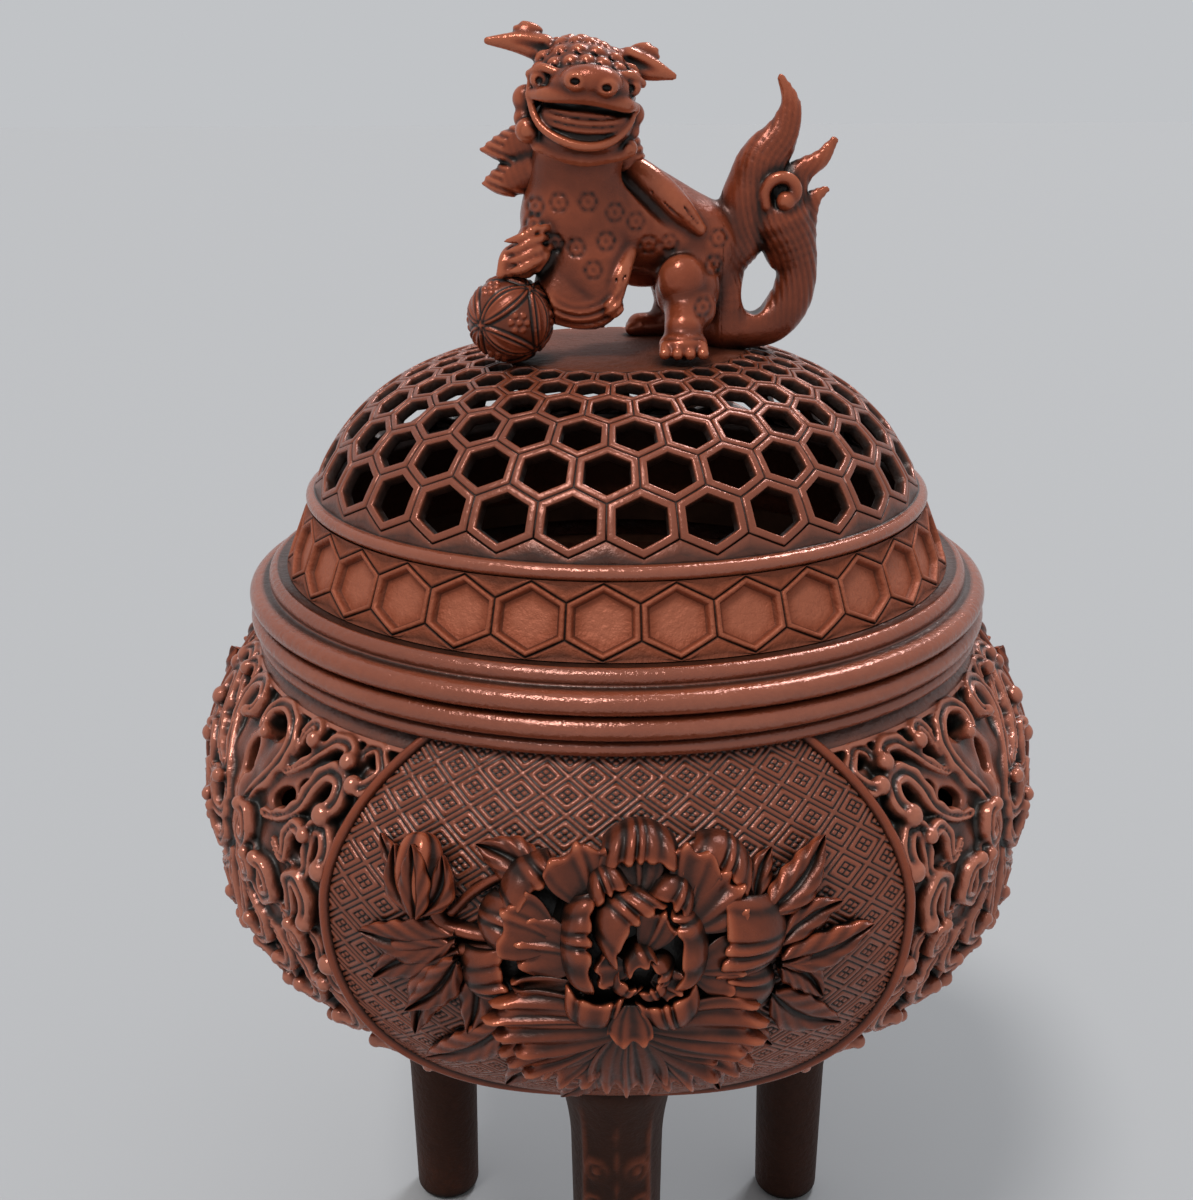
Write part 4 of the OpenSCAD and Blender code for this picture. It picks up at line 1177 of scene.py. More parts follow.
def hind_legs(clay):
    """The near one stands in front of the tail's root, the far one shows behind it."""
    clay.ball((8.7, -5.4, 7.4), (3.9, 3.5, 4.7), 1.0)
    clay.ball((7.9, -7.6, 8.6), (2.9, 2.4, 3.0), 0.35)
    clay.ball((9.4, -7.4, 5.2), (2.7, 2.2, 2.7), 0.6)
    clay.bar([(8.5, -7.6, 5.2), (8.1, -10.2, 3.2)], [2.6, 2.3], 0.9)
    clay.ball((8.0, -11.6, 1.5), (2.9, 2.6, 1.75), 0.7)
    clay.bar([(8, 3, 9), (7.4, 6, 4.6), (6.4, 6.4, 1.8)], [4.2, 2.5, 2.0], 1.0)
    clay.bar([(6.4, 6.0, 1.2), (3.0, 5.2, 1.2)], [1.7, 1.6], 0.6)
    for k in range(4):
        across = k - 1.5
        tip = (8.0 + 1.5 * across, -14.2 + 0.15 * abs(across), 0.8)
        clay.bar([(8.0 + 1.42 * across, -13.0, 1.5), tip], [0.72, 0.7], 0.18)
        clay.ball((2.0, 4.2 + 0.75 * k, 0.9), (0.8, 0.5, 0.8), 0.2)
    clay.bar([(5.2, -12.4, 2.3), (8.0, -13.9, 2.6), (10.8, -12.4, 2.3)], 0.2, 0.15, cut=True)


def back_lock(clay):
    """The long lock that falls from the neck along the back, with the dark groove under it."""
    clay.bar([(0.4, -6.0, 21.2), (3.6, -7.6, 18.2), (6.6, -7.9, 15.2), (9.8, -7.2, 12.8)],
             [0.7, 0.95, 0.95, 0.5], 0.35, cut=True)
    clay.bar([(0.8, -3.6, 22.4), (4.4, -5.4, 19.8), (7.4, -6.2, 17.0), (10.0, -6.2, 14.4)],
             [1.3, 1.7, 1.6, 0.8], 0.4, flat=0.85)
    groove = np.array([(2.0, -5.2, 21.6), (4.8, -7.0, 19.4), (7.6, -7.7, 16.8), (9.4, -7.2, 14.8)])
    for shift in (-0.5, 0.3):
        clay.bar(groove + [shift, 0, shift], 0.15, 0.15, cut=True)


def tail(clay):
    """A flame of hair that rises from the rump, joined to the crown by a loop."""
    flat = 1.25
    clay.bar([(10.0, -0.6, 12.0), (13.0, -0.5, 6.8), (13.4, -0.9, 1.8)], [3.6, 3.2, 2.6], 1.2)
    clay.bar([(11.5, -0.4, 12.0), (14.6, 0, 12.6), (16.6, 0, 17.6)], [4.2, 3.6, 3.4], 1.2, flat=1.15)
    loop = [(13.4, -1.0, 1.8), (16, -0.8, 1.8), (19.4, 0, 2.6),
            (21.8, 0, 5.2), (22.4, 0, 9.5), (20.4, 0, 14.8)]
    clay.bar(loop, [2.6, 2.6, 2.8, 2.6, 2.6, 3.8], 0.8)
    clay.bar([(16.6, 0, 17.6), (17.8, 0, 21.6), (20.2, 0, 25.2), (21.0, 0, 28.4), (19.8, 0, 31.4)],
             [3.5, 3.1, 2.0, 1.2, 0.45], 0.7, flat=flat)
    clay.bar([(19.8, 0, 16.2), (22.2, 0, 20.2), (24.8, 0, 22.0), (26.4, 0, 24.2)],
             [3.4, 1.7, 1.1, 0.5], 0.5, flat=flat)
    clay.bar([(21.4, 0, 11.6), (23.0, 0, 15.2), (24.2, 0, 17.4), (25.6, 0, 18.4)],
             [3.2, 1.8, 1.0, 0.5], 0.5, flat=flat)
    flow = spline([(21.8, 2.0), (21.8, 6.5), (20.6, 11.0), (18.2, 15.5),
                   (17.8, 21.6), (20.2, 25.6), (20.5, 31.2)], 5)

    def strands(x, _, h):
        fade = np.clip((x - 13.5) / 2.5, 0, 1) * np.clip((h - 2) / 3, 0, 1)
        far, _, side = nearest(flow, x, h)
        return 0.065 * fade * np.cos(2 * math.pi * side * far / 0.72)

    clay.press((13, -6.5, 2), (29, 6.5, 33.5), strands)
    for side in (-1, 1):
        hook = open_ring((20.3, 2.7 * side, 18.2), np.linspace(2.5, 0.9, 9), *np.radians([215, -75]), 9)
        clay.ball((20.3, 3.4 * side, 18.0), (1.8, 1.5, 1.8), 0.3, cut=True)
        clay.bar(hook, np.linspace(0.7, 0.95, 9), 0.25)
        clay.ball(hook[-1] + [0, 0.4 * side, 0], 1.2, 0.2)
    clay.ball((17.2, 0, 6.2), (1.75, 7, 2.7), 0.4, cut=True)


def lion_and_tail():
    """The body and the tail, from one block that is parted at the joint."""
    low, high = (-15.5, -17, -2), (29, 11, 33.5)
    clay = Clay(low, high, 0.26)
    trunk(clay)
    forelegs(clay)
    hind_legs(clay)
    tail(clay)
    back_lock(clay)
    clay.press((-13, -14, 4), (14, 8, 21), spots)
    clay.ball(BALL_PLACE, BALL_R + 0.05, 0.05, cut=True)
    a, b, h = clay.window(low, high, 0)[1]
    crown = dome_height(np.minimum(np.hypot(a, b), DOME_R - 1)) - LID_TOP_Z
    neck = h - 25.0 - (b + 4) * math.tan(math.radians(20))
    clay.field = np.maximum(clay.field, np.maximum(crown - h, np.where(a < 8, neck, -9))).astype(np.float32)
    pieces = []
    for cut in (a - SEAM_X - 0.3, SEAM_X - 0.3 - a):
        verts, quads, wear = clay.mesh(cut=cut)
        tail_share = np.clip((verts[:, 0] - 8) / 8, 0, 1)
        pieces.append((verts, quads, np.clip(wear + 0.05 - 0.11 * tail_share, 0.03, 0.95)))
    return pieces


HEAD_PLACE = np.array([-3.8, -7.5, 29.6])
HEAD_ROLL = math.radians(5)


def head_to_lion(verts):
    """From the head's own frame, x right, y back, z up, to the lion's."""
    c, s = math.cos(HEAD_ROLL), math.sin(HEAD_ROLL)
    x, y, z = verts.T
    return np.stack([x * c + z * s, y, z * c - x * s], 1) + HEAD_PLACE


# Rows of curls on the brow: height, depth, number and reach to either side
CURL_ROWS = [(3.3, -4.4, 7, 5.2), (4.4, -2.7, 6, 4.9), (5.2, -0.6, 7, 4.4), (5.4, 1.8, 6, 4.0)]
# Round tufts on the cheeks, place and radius, and those with a curl cut into them
CHEEK_TUFTS = [((-6.4, -1.2, -0.9), 1.6), ((-6.4, -1.6, -3.0), 1.3), ((5.9, -1.4, -1.6), 1.4),
               ((5.7, -1.6, -3.4), 1.2)]
CHEEK_CURLS = [((-5.9, -3.2, -4.3), 1.45), ((5.7, -2.6, -5.3), 1.1)]


def lion_head():
    """The head with its mane, wide grin, brow curls and spread ears."""
    clay = Clay((-14, -12, -13.5), (14, 11, 11.5), 0.21)
    clay.ball((0, 0.8, 1.4), (6.2, 6.2, 4.7), 1.0)
    clay.ball((0, 4.2, -2.6), (6.6, 4.4, 7.4), 1.0)
    clay.ball((0.2, -1.6, -4.4), (5.3, 4.6, 3.2), 1.0)
    clay.ball((0.8, -4.6, 1.0), (4.7, 3.8, 2.5), 0.8)
    clay.ball((1.0, -7.2, 1.7), (3.4, 1.9, 1.7), 0.5)
    clay.ball((-0.7, -8.0, 1.5), (1.35, 1.2, 1.1), 0.3)
    clay.ball((2.7, -8.0, 1.2), (1.35, 1.2, 1.1), 0.3)
    upper = [(-5.7, -3.4, -0.4), (-3.2, -6.0, -0.1), (0.8, -7.4, 0.1), (4.4, -6.2, -0.4), (6.0, -3.6, -0.9)]
    clay.ball((0.5, -5.0, -2.7), (5.0, 4.4, 2.1), 0.3, cut=True)
    clay.bar(upper, [0.7, 0.95, 1.0, 0.95, 0.7], 0.4)
    clay.ball((0.5, -2.9, -2.8), (5.5, 3.7, 3.4), 0.25)
    clay.bar([(-4.9, -4.2, -1.0), (0.5, -6.6, -1.2), (5.6, -4.4, -1.3)], 0.5, 0.15, cut=True)

    def tongue(x, _, z):
        fade = np.clip((4.6 - np.abs(x - 0.5)) / 1.5, 0, 1)
        lines = sum(np.exp(-((z + drop - 0.03 * (x - 0.5) ** 2) / 0.17) ** 2) for drop in (2.4, 3.3, 4.2))
        return 0.22 * fade * lines

    clay.press((-4.6, -8, -5.0), (5.6, -3.6, -1.6), tongue)
    lower = [(-5.9, -3.0, 1.8), (-5.9, -3.4, -0.6), (-4.6, -4.8, -3.4), (-2.0, -6.0, -4.9),
             (0.8, -6.4, -5.4), (3.4, -5.8, -4.8), (5.4, -4.4, -3.0), (6.2, -3.4, -0.8)]
    clay.bar(lower, [0.35, 0.42, 0.46, 0.5, 0.52, 0.5, 0.44, 0.36], 0.3)
    for x, z in ((-0.8, 1.45), (2.8, 1.05)):
        clay.ball((x, -9.1, z), (0.62, 0.7, 0.42), 0.25, cut=True)
    for side in (-1, 1):
        clay.ball((0.3 + 5.0 * side, -4.0, 1.3), (1.3, 1.1, 1.1), 0.25)
        clay.ball((0.3 + 5.2 * side, -5.1, 1.2), (0.5, 0.55, 0.5), 0.12, cut=True)
        brow = [(0.3 + 3.2 * side, -5.4, 2.2), (0.3 + 5.0 * side, -4.7, 2.6), (0.3 + 6.4 * side, -3.0, 1.8)]
        clay.bar(brow, 0.5, 0.25)
    for row, (z, y, count, reach) in enumerate(CURL_ROWS):
        for k in range(count):
            a = (k - (count - 1) / 2) / ((count - 1) / 2)
            curl = np.array([0.3 + reach * a, y + 1.8 * a * a, z - 1.2 * a * a - 0.25 * row * a])
            clay.ball(curl, 1.15, 0.3)
            clay.bar(open_ring(curl + [0, -1.05, 0.4], 0.45, 0, 5, 7), 0.16, 0.1, cut=True)
    ears = (([(-5.0, 1.2, 4.7), (-8.0, 1.2, 5.1), (-11.4, 1.4, 5.0)], [1.6, 1.15, 0.45], (-6.9, 2.2, 6.2)),
            ([(5.0, 1.0, 4.0), (7.4, 0.8, 3.5), (10.2, 0.4, 2.9)], [1.7, 1.35, 0.45], (6.7, 2.0, 5.0)))
    for path, radii, bump in ears:
        clay.bar(path, radii, 0.6, flat=1.3)
        clay.ball(bump, (1.8, 1.2, 1.3), 0.5)
        clay.bar([np.array(p) + [0, -1.5, 0.1] for p in path], [0.75, 0.7, 0.2], 0.3, cut=True)
    for centre, r in CHEEK_TUFTS:
        clay.ball(centre, r, 0.5)
    for centre, r in CHEEK_CURLS:
        clay.ball(centre, r, 0.25)
        clay.bar(open_ring(np.array(centre) + [0, -0.85 * r, 0], 0.6 * r, 0.5, 5.6, 9), 0.17, 0.1, cut=True)
    locks = [
        [(-5.0, 2.6, -5.2), (-8.4, 3.2, -6.6), (-11.5, 3.4, -7.2)],
        [(-5.2, 2.8, -8.8), (-8.4, 3.2, -10.4), (-11.0, 3.4, -10.9)],
        [(4.6, 2.8, -5.0), (6.0, 3.2, -7.0), (6.8, 3.4, -8.8)],
        [(-3.0, 7.0, -4.0), (-4.6, 9.2, -7.6), (-4.4, 9.8, -10.8)],
        [(0.4, 7.6, -4.0), (0.6, 9.8, -8.0), (0.6, 10.2, -11.2)],
        [(3.6, 7.0, -4.0), (5.0, 9.0, -7.6), (4.8, 9.6, -10.6)],
    ]
    for path in locks:
        clay.bar(path, [2.5, 1.9, 0.3], 0.5, flat=1.15)
    clay.press((-13, 1.5, -13.5), (13, 11, 8), lambda x, y, z: 0.1 * np.cos(
        6.4 * z - 1.9 * np.abs(x) + 1.3 * np.sin(0.5 * y)))
    clay.bar([(-4.6, -3.2, -5.8), (0.4, -4.2, -6.7), (5.0, -2.8, -6.0)], [0.8, 1.0, 0.8], 0.5)
    verts, quads, wear = clay.mesh(gain=0.75)
    return head_to_lion(verts), quads, wear


def on_crown(mesh):
    """A mesh of the lion's group, lifted onto the lid."""
    verts, quads, wear = mesh
    return verts + [0, 0, LID_TOP_Z], quads, wear


body_mesh, tail_mesh = lion_and_tail()
for lion_name, lion_mesh in (("lion_body", body_mesh), ("lion_head", lion_head()), ("lion_tail", tail_mesh)):
    add_mesh("sculpted_" + lion_name, on_crown(lion_mesh), relief_bronze, "lid", (lion_name,))


# Openwork panels: scrolling vine with curled fronds, pierced between them

PANEL_TOP_V = 19.2
PANEL_LOW_V = -35.0
PANEL_HALF = 60 * math.pi / 180 * BELLY_R
# Pierced eyes of one half: place across from the panel's middle and up from the belly, half sizes, and
# lean in degrees
EYES = [
    (4.6, 15.4, 1.5, 1.0, 40), (12.8, 15.3, 0.7, 2.3, -32), (19.2, 15.8, 1.7, 0.6, 8),
    (24.4, 17.0, 0.6, 0.5, 0), (25.8, 14.9, 1.3, 0.45, 38), (0.0, 10.2, 1.2, 2.0, 0),
    (11.2, 8.6, 1.7, 0.9, 30), (14.6, 10.8, 0.7, 0.9, -20), (19.6, 11.6, 0.8, 1.6, -34),
    (4.6, 3.0, 0.8, 1.2, 10), (17.6, 4.2, 1.3, 1.5, 20), (21.0, 5.3, 0.7, 1.4, -12),
    (5.4, -1.8, 1.0, 1.2, 0), (10.2, -2.4, 0.8, 1.4, -18), (14.2, -3.2, 1.4, 0.7, 34),
    (17.6, -2.0, 0.9, 1.5, 12), (22.3, -3.0, 0.55, 4.6, -3), (15.6, -7.4, 0.8, 0.7, 0),
    (18.4, -10.0, 0.8, 2.4, -24), (22.6, -10.6, 0.7, 0.7, 0), (0.0, -8.4, 0.9, 1.9, 0),
    (5.8, -10.2, 0.9, 1.3, 24), (10.6, -12.0, 1.2, 0.8, -28), (14.4, -15.4, 0.8, 1.8, -36),
    (3.8, -17.0, 1.0, 1.4, -10), (9.2, -18.4, 0.9, 1.5, 30), (20.4, -17.8, 1.0, 1.7, -40),
    (15.4, -22.0, 1.5, 0.8, -30), (0.0, -22.4, 0.9, 1.6, 0), (6.4, -24.4, 1.1, 0.9, 40),
    (22.0, -24.6, 1.2, 1.6, -46), (12.2, -27.4, 1.6, 0.9, 16), (28.6, -25.2, 0.9, 1.5, -50),
    (19.6, -30.0, 1.6, 0.9, -24), (3.6, -30.2, 1.3, 1.0, 0), (28.4, -31.4, 1.5, 0.8, -20)]
# Curled fronds of one half: places that a rounded ridge runs through, and its radius at both ends
FRONDS = [
    ([(2.6, 3.4), (5.0, 7.0), (8.4, 11.2), (9.6, 14.4), (8.2, 17.2), (5.2, 18.3), (2.6, 17.2),
      (2.4, 15.2), (4.0, 14.2)], 1.2, 0.7),
    ([(8.6, 5.6), (12.6, 6.8), (15.8, 9.0), (17.2, 12.0), (19.2, 14.0), (21.8, 13.6),
      (22.3, 11.4), (21.0, 9.4)], 0.9, 1.2),
    ([(10.6, 11.6), (13.6, 13.6), (16.4, 16.2), (18.6, 17.6), (21.2, 17.4), (22.0, 15.8)], 0.7, 1.0),
    ([(22.6, 15.4), (23.2, 17.6), (25.0, 18.4), (26.4, 17.4), (27.4, 15.6), (25.6, 13.6),
      (24.0, 13.6)], 0.7, 1.0),
    ([(10.6, 14.0), (11.2, 16.6), (12.6, 18.2), (14.4, 17.8), (14.6, 16.6)], 0.6, 0.9),
    ([(15.2, 1.8), (18.6, 1.6), (19.2, 4.6), (19.6, 7.4), (21.6, 7.8), (22.7, 5.8), (22.2, 3.4)], 0.8, 1.1),
    ([(11.8, 3.2), (14.6, 2.2), (15.2, 5.2), (16.6, 6.8), (18.8, 6.4)], 0.7, 0.8),
    ([(2.8, 3.6), (2.9, 1.2), (5.0, 0.4), (6.6, 2.0), (6.2, 4.6), (4.4, 5.2)], 0.9, 0.8),
    ([(6.4, 2.0), (8.2, -0.4), (8.4, -4.0), (10.2, -4.8), (12.2, -3.2), (11.6, -0.4), (9.6, 0.4)], 0.9, 0.8),
    ([(3.0, 1.0), (3.2, -2.2), (5.2, -4.0), (7.4, -2.4), (7.0, 0.0)], 0.8, 0.7),
    ([(12.0, -4.6), (15.0, -5.2), (16.0, -3.2), (16.2, 0.0), (18.0, 0.7), (19.6, -1.2),
      (19.4, -4.0)], 0.8, 1.0),
    ([(16.6, -5.8), (19.8, -6.6), (20.6, -9.4), (22.4, -12.2), (24.4, -11.4), (24.2, -9.2),
      (22.4, -8.6)], 0.8, 1.1),
    ([(13.6, -6.4), (14.4, -9.0), (16.6, -9.4), (17.4, -7.2), (16.0, -5.6)], 0.8, 0.7),
    ([(12.6, -8.8), (16.2, -11.6), (17.6, -13.4), (20.2, -12.6)], 0.9, 0.8),
    ([(1.8, -4.4), (2.4, -8.4), (1.6, -12.0), (0.0, -13.4)], 0.9, 0.9),
    ([(2.6, -6.0), (5.2, -7.6), (7.8, -9.2), (7.4, -12.0), (5.0, -12.8), (3.8, -10.8)], 0.8, 0.8),
    ([(8.4, -9.0), (11.4, -9.8), (13.2, -11.6), (12.0, -14.0), (9.6, -14.0)], 0.8, 0.8),
    ([(1.2, -13.6), (2.2, -16.8), (3.6, -19.6), (6.0, -18.6), (6.0, -15.6), (3.8, -14.4)], 0.9, 0.8),
    ([(7.2, -14.6), (10.4, -15.8), (11.4, -19.0), (9.4, -21.2), (7.2, -19.4)], 0.8, 0.9),
    ([(12.6, -13.0), (15.8, -13.2), (16.6, -16.4), (14.6, -18.4), (12.6, -17.0)], 0.8, 0.9),
    ([(17.6, -14.6), (20.4, -14.8), (22.8, -17.2), (21.4, -20.4), (18.6, -19.8)], 0.8, 0.9),
    ([(12.4, -20.2), (15.4, -19.8), (18.0, -21.6), (16.6, -24.4), (13.6, -23.6)], 0.9, 0.8),
    ([(1.6, -20.4), (2.4, -23.6), (0.0, -25.6)], 0.8, 0.9),
    ([(4.2, -22.4), (7.2, -22.2), (8.8, -24.4), (7.2, -26.8), (4.6, -26.0)], 0.8, 0.8),
    ([(19.6, -22.4), (22.4, -21.8), (24.6, -24.0), (23.0, -27.4), (20.0, -26.6)], 0.8, 0.9),
    ([(9.6, -26.0), (12.4, -25.2), (15.2, -27.0), (13.4, -30.0), (10.0, -29.4)], 0.8, 0.9),
    ([(26.4, -23.0), (29.6, -22.6), (31.4, -25.6), (29.0, -28.2)], 0.8, 0.9),
    ([(17.0, -28.4), (19.8, -27.6), (22.6, -30.0), (20.4, -32.6), (17.0, -31.6)], 0.8, 0.9),
    ([(1.0, -28.2), (4.0, -27.8), (6.4, -30.4), (3.8, -33.0), (0.8, -32.2)], 0.8, 0.9),
    ([(25.8, -30.0), (28.8, -29.4), (31.6, -31.8), (29.0, -34.0)], 0.8, 0.9)]


def frond(clay, points, start, end):
    """A scrolling leaf: rolled edges, a sunk vein, scallops on one side and a knob at its curled tip."""
    line = spline(points, 7)
    reach = 1.5 * max(start, end)
    span, (a, v, w) = clay.window((*line.min(0) - reach, -4.2), (*line.max(0) + reach, 2.6), 1.0)
    far, along, side = nearest(line, a, v)
    legs = np.hypot(*np.diff(np.asarray(points), axis=0).T).sum()
    turn = np.sign(np.cross(line[len(line) // 2] - line[0], line[-1] - line[0]))
    lobes = np.where(side == -turn, 1 + 0.3 * np.cos(2 * math.pi * along * legs / 2.6) * (1 - along), 1.0)
    swell = 0.4 + 0.6 * np.sin(math.pi * (0.1 + 0.72 * along))
    half = 1.35 * (start + (end - start) * along) * swell * lobes
    share = np.clip(far / half, 0, 1)
    rolled = 0.62 * np.sin(math.pi * share ** 1.2) - 0.45 * share ** 4
    top = -1.35 + 1.5 * along ** 0.8 + rolled
    leaf_field = np.maximum(np.maximum(far - half, 0.8 * (w - top)), -3.0 - w)
    clay.merge(span, leaf_field, 0.3, False)
    clay.ball((*line[-1], 0.1), (1.15 * end, 1.15 * end, 1.05 * end), 0.25)


def openwork_mesh():
    """The panel sculpted flat, across, up and out of the wall, then bent onto the bowl."""
    low, high = (-1.2, PANEL_LOW_V - 1, -4.2), (40.0, PANEL_TOP_V + 1, 2.6)
    clay = Clay(low, high, 0.3)
    a, v, w = clay.window(low, high, 0)[1]
    hollow = 0.5 * np.cos(0.9 * a + 0.5 * v) * np.cos(0.55 * v - 0.4 * a)
    clay.field = (np.abs(w + 2.3 - 0.5 * hollow) - 0.9).astype(np.float32)
    for across, up, wide, tall, lean in EYES:
        c, s = math.cos(math.radians(lean)), math.sin(math.radians(lean))
        x = ((a - across) * c + (v - up) * s) / (wide + 0.4)
        y = (-(a - across) * s + (v - up) * c) / (tall + 0.4)
        hole = (np.hypot(x, y) - 1) * min(wide, tall)
        clay.field = -soft_least(-clay.field, hole, 0.5).astype(np.float32)
    for points, start, end in FRONDS:
        frond(clay, points, start, end)
    rim = np.hypot(a - PANEL_HALF, v - MEDALLION_V) - MEDALLION_R
    edge = np.maximum(np.maximum(0.1 - rim, v - PANEL_TOP_V), PANEL_LOW_V - v)
    border = np.maximum(np.abs(np.maximum(-rim, v - PANEL_TOP_V + 0.2)) - 0.5, np.abs(w + 1.6) - 1.3)
    clay.field = soft_least(clay.field, border, 0.4)
    clay.field = np.maximum(clay.field, np.maximum(edge, -0.02 - a)).astype(np.float32)
    verts, quads, wear = clay.mesh(6, 0.72)
    other = (verts * [-1, 1, 1], quads[:, ::-1], wear)
    flat, quads, wear = join([(verts, quads, wear), other])
    return on_bowl(flat[:, 0], flat[:, 1], flat[:, 2]), quads, wear


openwork = openwork_mesh()
for panel, panel_turn in (("left", -THIRD / 2), ("right", THIRD / 2), ("back", math.pi)):
    add_mesh("scroll_openwork_" + panel, openwork, openwork_bronze, "vessel",
             ("openwork_panel_" + panel,), panel_turn)


# Brocade ball: petal-shaped bands round a blossom of dots

# Ways from the ball's middle to the blossom that faces the front and to the long petal under it
BALL_BLOSSOM = np.array([-0.43, -0.435, 0.787])
BALL_PETAL = np.array([0.23, -0.968, 0.094])


def three_axes(first, second):
    """Unit axes as rows: the first way, the second one squared to it, and the one across both."""
    one = first / np.linalg.norm(first)
    two = second - (second @ one) * one
    two /= np.linalg.norm(two)
    return np.stack([one, two, np.cross(one, two)])


def brocade_ball():
    """A ball wrapped in crossing bands of pointed petals, a dotted blossom in each field between them."""
    rows, columns = 129, 256
    a, b = pairs(np.linspace(0.004, math.pi - 0.004, rows), round_angles(columns))
    p = np.stack([np.sin(a) * np.cos(b), np.sin(a) * np.sin(b), np.cos(a)], 1)
    q = p @ three_axes(BALL_BLOSSOM, BALL_PETAL).T @ three_axes(np.ones(3), np.array([1.0, 1.0, 0.0]))
    height = np.zeros(len(p))
    sunk = np.zeros(len(p))
    for k in range(3):
        along = np.arctan2(q[:, (k + 1) % 3], q[:, (k + 2) % 3])
        off = np.abs(np.arcsin(np.clip(q[:, k], -1, 1)))
        segment = (along * 2 / math.pi) % 1
        half = 0.24 * np.sin(math.pi * segment) ** 0.85
        edge = np.abs(off - half)
        line = np.exp(-(edge / 0.04) ** 2) + np.exp(-(np.abs(off - 0.45 * half) / 0.035) ** 2) * (half > 0.08)
        inside = off < half
        height = np.maximum(height, np.where(inside, 0.10, 0) + 0.16 * np.minimum(line, 1))
        sunk = np.maximum(sunk, np.exp(-(np.abs(edge - 0.065) / 0.03) ** 2))
    for corner in np.ndindex(2, 2, 2):
        middle = (np.array(corner) * 2.0 - 1) / math.sqrt(3)
        far = np.arccos(np.clip(q @ middle, -1, 1))
        side = np.cross(middle, [0.3, 0.5, 0.8])
        side /= np.linalg.norm(side)
        turn = np.arctan2(q @ np.cross(middle, side), q @ side)
        for ring, count, size in ((0.0, 1, 0.075), (0.19, 6, 0.075)):
            sector = (turn * count / (2 * math.pi)) % 1
            gap = np.hypot(far - ring, (sector - 0.5) * 2 * math.pi * ring / count)
            height = np.maximum(height, 0.22 * np.exp(-(gap / size) ** 4))
    height = height - 0.1 * sunk
    verts = BALL_PLACE + p * (BALL_R - 0.2 + height)[:, None]
    wear = np.clip(0.5 + 1.2 * height - 0.5 * sunk, 0.08, 0.9)
    return oriented((verts, grid_quads(rows, columns, wrap_columns=True), wear))


add_mesh("carved_ball", on_crown(brocade_ball()), relief_bronze, "lid", ("brocade_ball",))


# Scene: floor, lights and camera

PALE = (0.533, 0.546, 0.565)
FLOOR_SHARE = 0.83
SKY_LOW = 0.08
SKY_HIGH = 0.7
FLOOR_HALF = 6.0


def build_floor():
    """The plain pale floor."""
    mesh = bpy.data.meshes.new("floor")
    corners = [(FLOOR_HALF * x, FLOOR_HALF * y, 0) for x, y in ((-1, -1), (1, -1), (1, 1), (-1, 1))]
    mesh.from_pydata(corners, [], [(0, 1, 2, 3)])
    material, tree, shader = new_material("floor_paint")
    feed(tree, shader, {"Base Color": (*[FLOOR_SHARE * c for c in PALE], 1), "Roughness": 0.9})
    mesh.materials.append(material)
    floor = bpy.data.objects.new("floor", mesh)
    bpy.context.scene.collection.objects.link(floor)


def add_light(name, turn, elevation, spread, strength, colour):
    """A far, soft light: turn from the front and elevation, spread of its disc, all in degrees."""
    data = bpy.data.lights.new(name, "SUN")
    data.angle = math.radians(spread)
    data.energy = strength
    data.color = colour
    lamp = bpy.data.objects.new(name, data)
    level = math.cos(math.radians(elevation))
    towards = Vector((level * math.sin(math.radians(turn)), -level * math.cos(math.radians(turn)),
                      math.sin(math.radians(elevation))))
    lamp.location = towards
    lamp.rotation_euler = (-towards).to_track_quat("-Z", "Y").to_euler()
    bpy.context.scene.collection.objects.link(lamp)


FOCAL_PX = 1500.0
PICTURE_LONG_SIDE = 1200.0
CAMERA_BACK = 189.9
CAMERA_Z = 175.4
CAMERA_YAW = math.radians(-0.79)
CAMERA_PITCH = math.radians(19.2)
CAMERA_ROLL = math.radians(0.317)


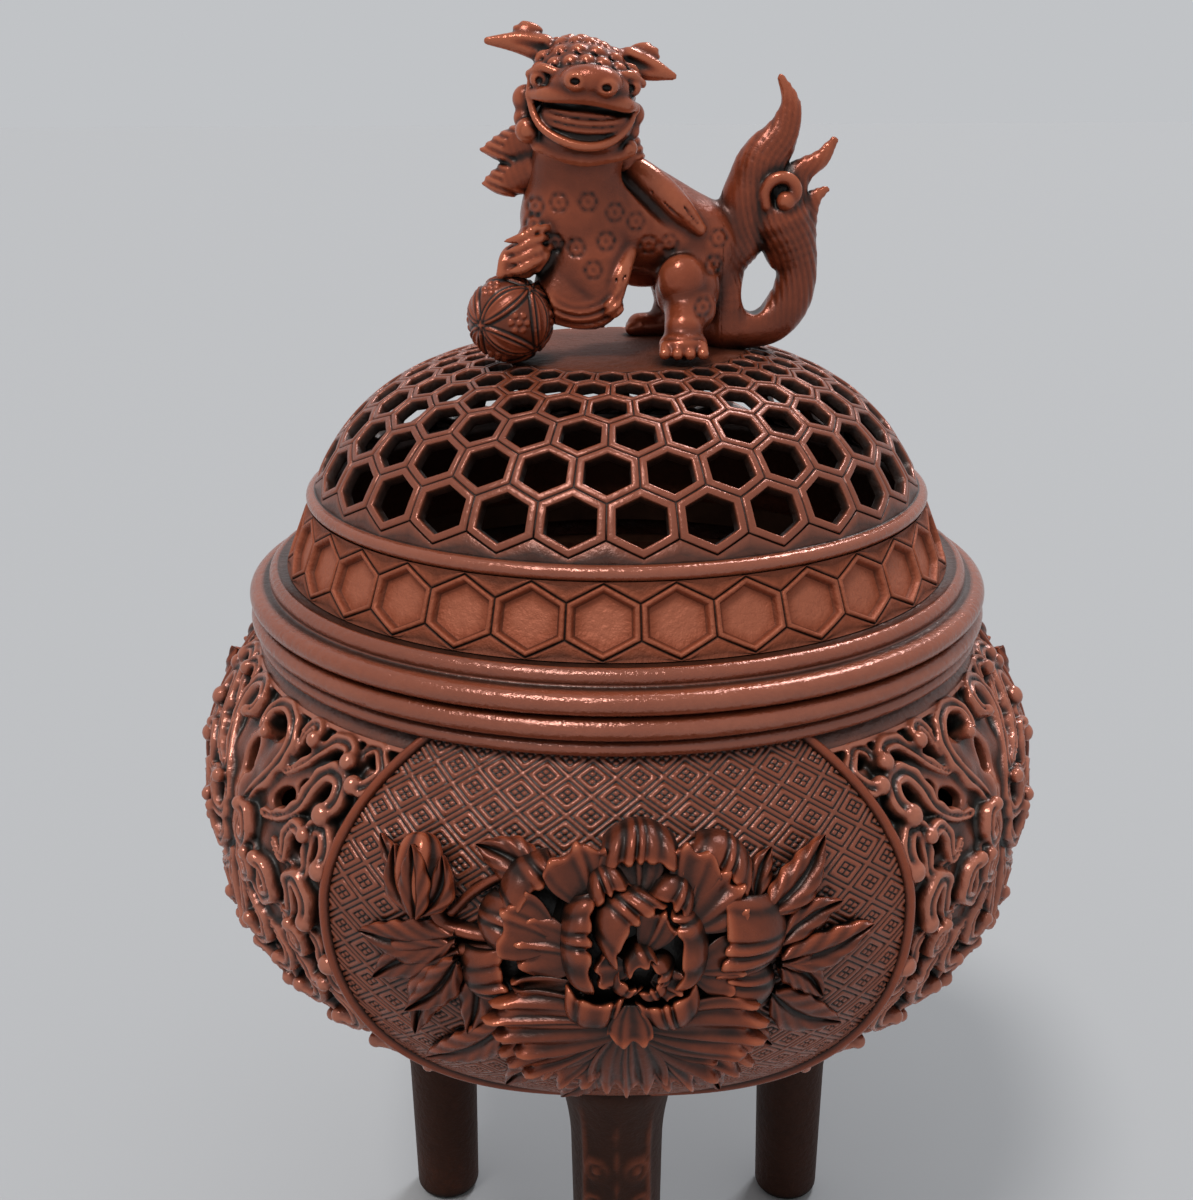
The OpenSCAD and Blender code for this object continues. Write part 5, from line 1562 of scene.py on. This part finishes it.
def build_camera():
    """The camera that took the photo, as fitted to it."""
    data = bpy.data.cameras.new("photo_camera")
    data.sensor_width = 36
    data.lens = FOCAL_PX * data.sensor_width / PICTURE_LONG_SIDE
    data.clip_start = 0.01
    camera = bpy.data.objects.new("photo_camera", data)
    cp, sp = math.cos(CAMERA_PITCH), math.sin(CAMERA_PITCH)
    forward = Vector((math.sin(CAMERA_YAW) * cp, math.cos(CAMERA_YAW) * cp, -sp))
    right = Vector((math.cos(CAMERA_YAW), -math.sin(CAMERA_YAW), 0))
    down = forward.cross(right)
    c, s = math.cos(CAMERA_ROLL), math.sin(CAMERA_ROLL)
    across, low = c * right + s * down, c * down - s * right
    turn = Matrix((across, -low, -forward)).transposed().to_4x4()
    camera.matrix_world = Matrix.Translation((0, -CAMERA_BACK * MM, CAMERA_Z * MM)) @ turn
    bpy.context.scene.collection.objects.link(camera)
    bpy.context.scene.camera = camera


def build_world():
    """Soft light that grows towards the zenith, in front of a plain pale background."""
    world = bpy.data.worlds.new("studio")
    world.use_nodes = True
    tree = world.node_tree
    backdrop = tree.nodes["Background"]
    feed(tree, backdrop, {"Color": (*PALE, 1)})
    place = add_node(tree, "TexCoord", {}).outputs["Generated"]
    height = add_node(tree, "SeparateXYZ", {"Vector": place}).outputs["Z"]
    glow = coloured(tree, height, [(0.0, [SKY_LOW] * 3), (1.0, [SKY_HIGH] * 3)])
    sky = add_node(tree, "Background", {"Color": glow, "Strength": 1.0})
    ray = add_node(tree, "LightPath", {}).outputs
    seen = worked_out(tree, "MAXIMUM", ray["Is Camera Ray"], ray["Is Glossy Ray"])
    shown = worked_out(tree, "MAXIMUM", seen, ray["Is Transmission Ray"])
    mix = add_node(tree, "MixShader", {0: shown, 1: sky.outputs[0], 2: backdrop.outputs[0]})
    feed(tree, tree.nodes["World Output"], {"Surface": mix.outputs[0]})
    bpy.context.scene.world = world


build_floor()
add_light("key_light", -32, 62, 14, 1.35, (1.0, 0.97, 0.94))
add_light("back_light", 150, 52, 14, 1.15, (0.95, 0.97, 1.0))
build_camera()
build_world()
bpy.context.scene.view_settings.view_transform = "Standard"
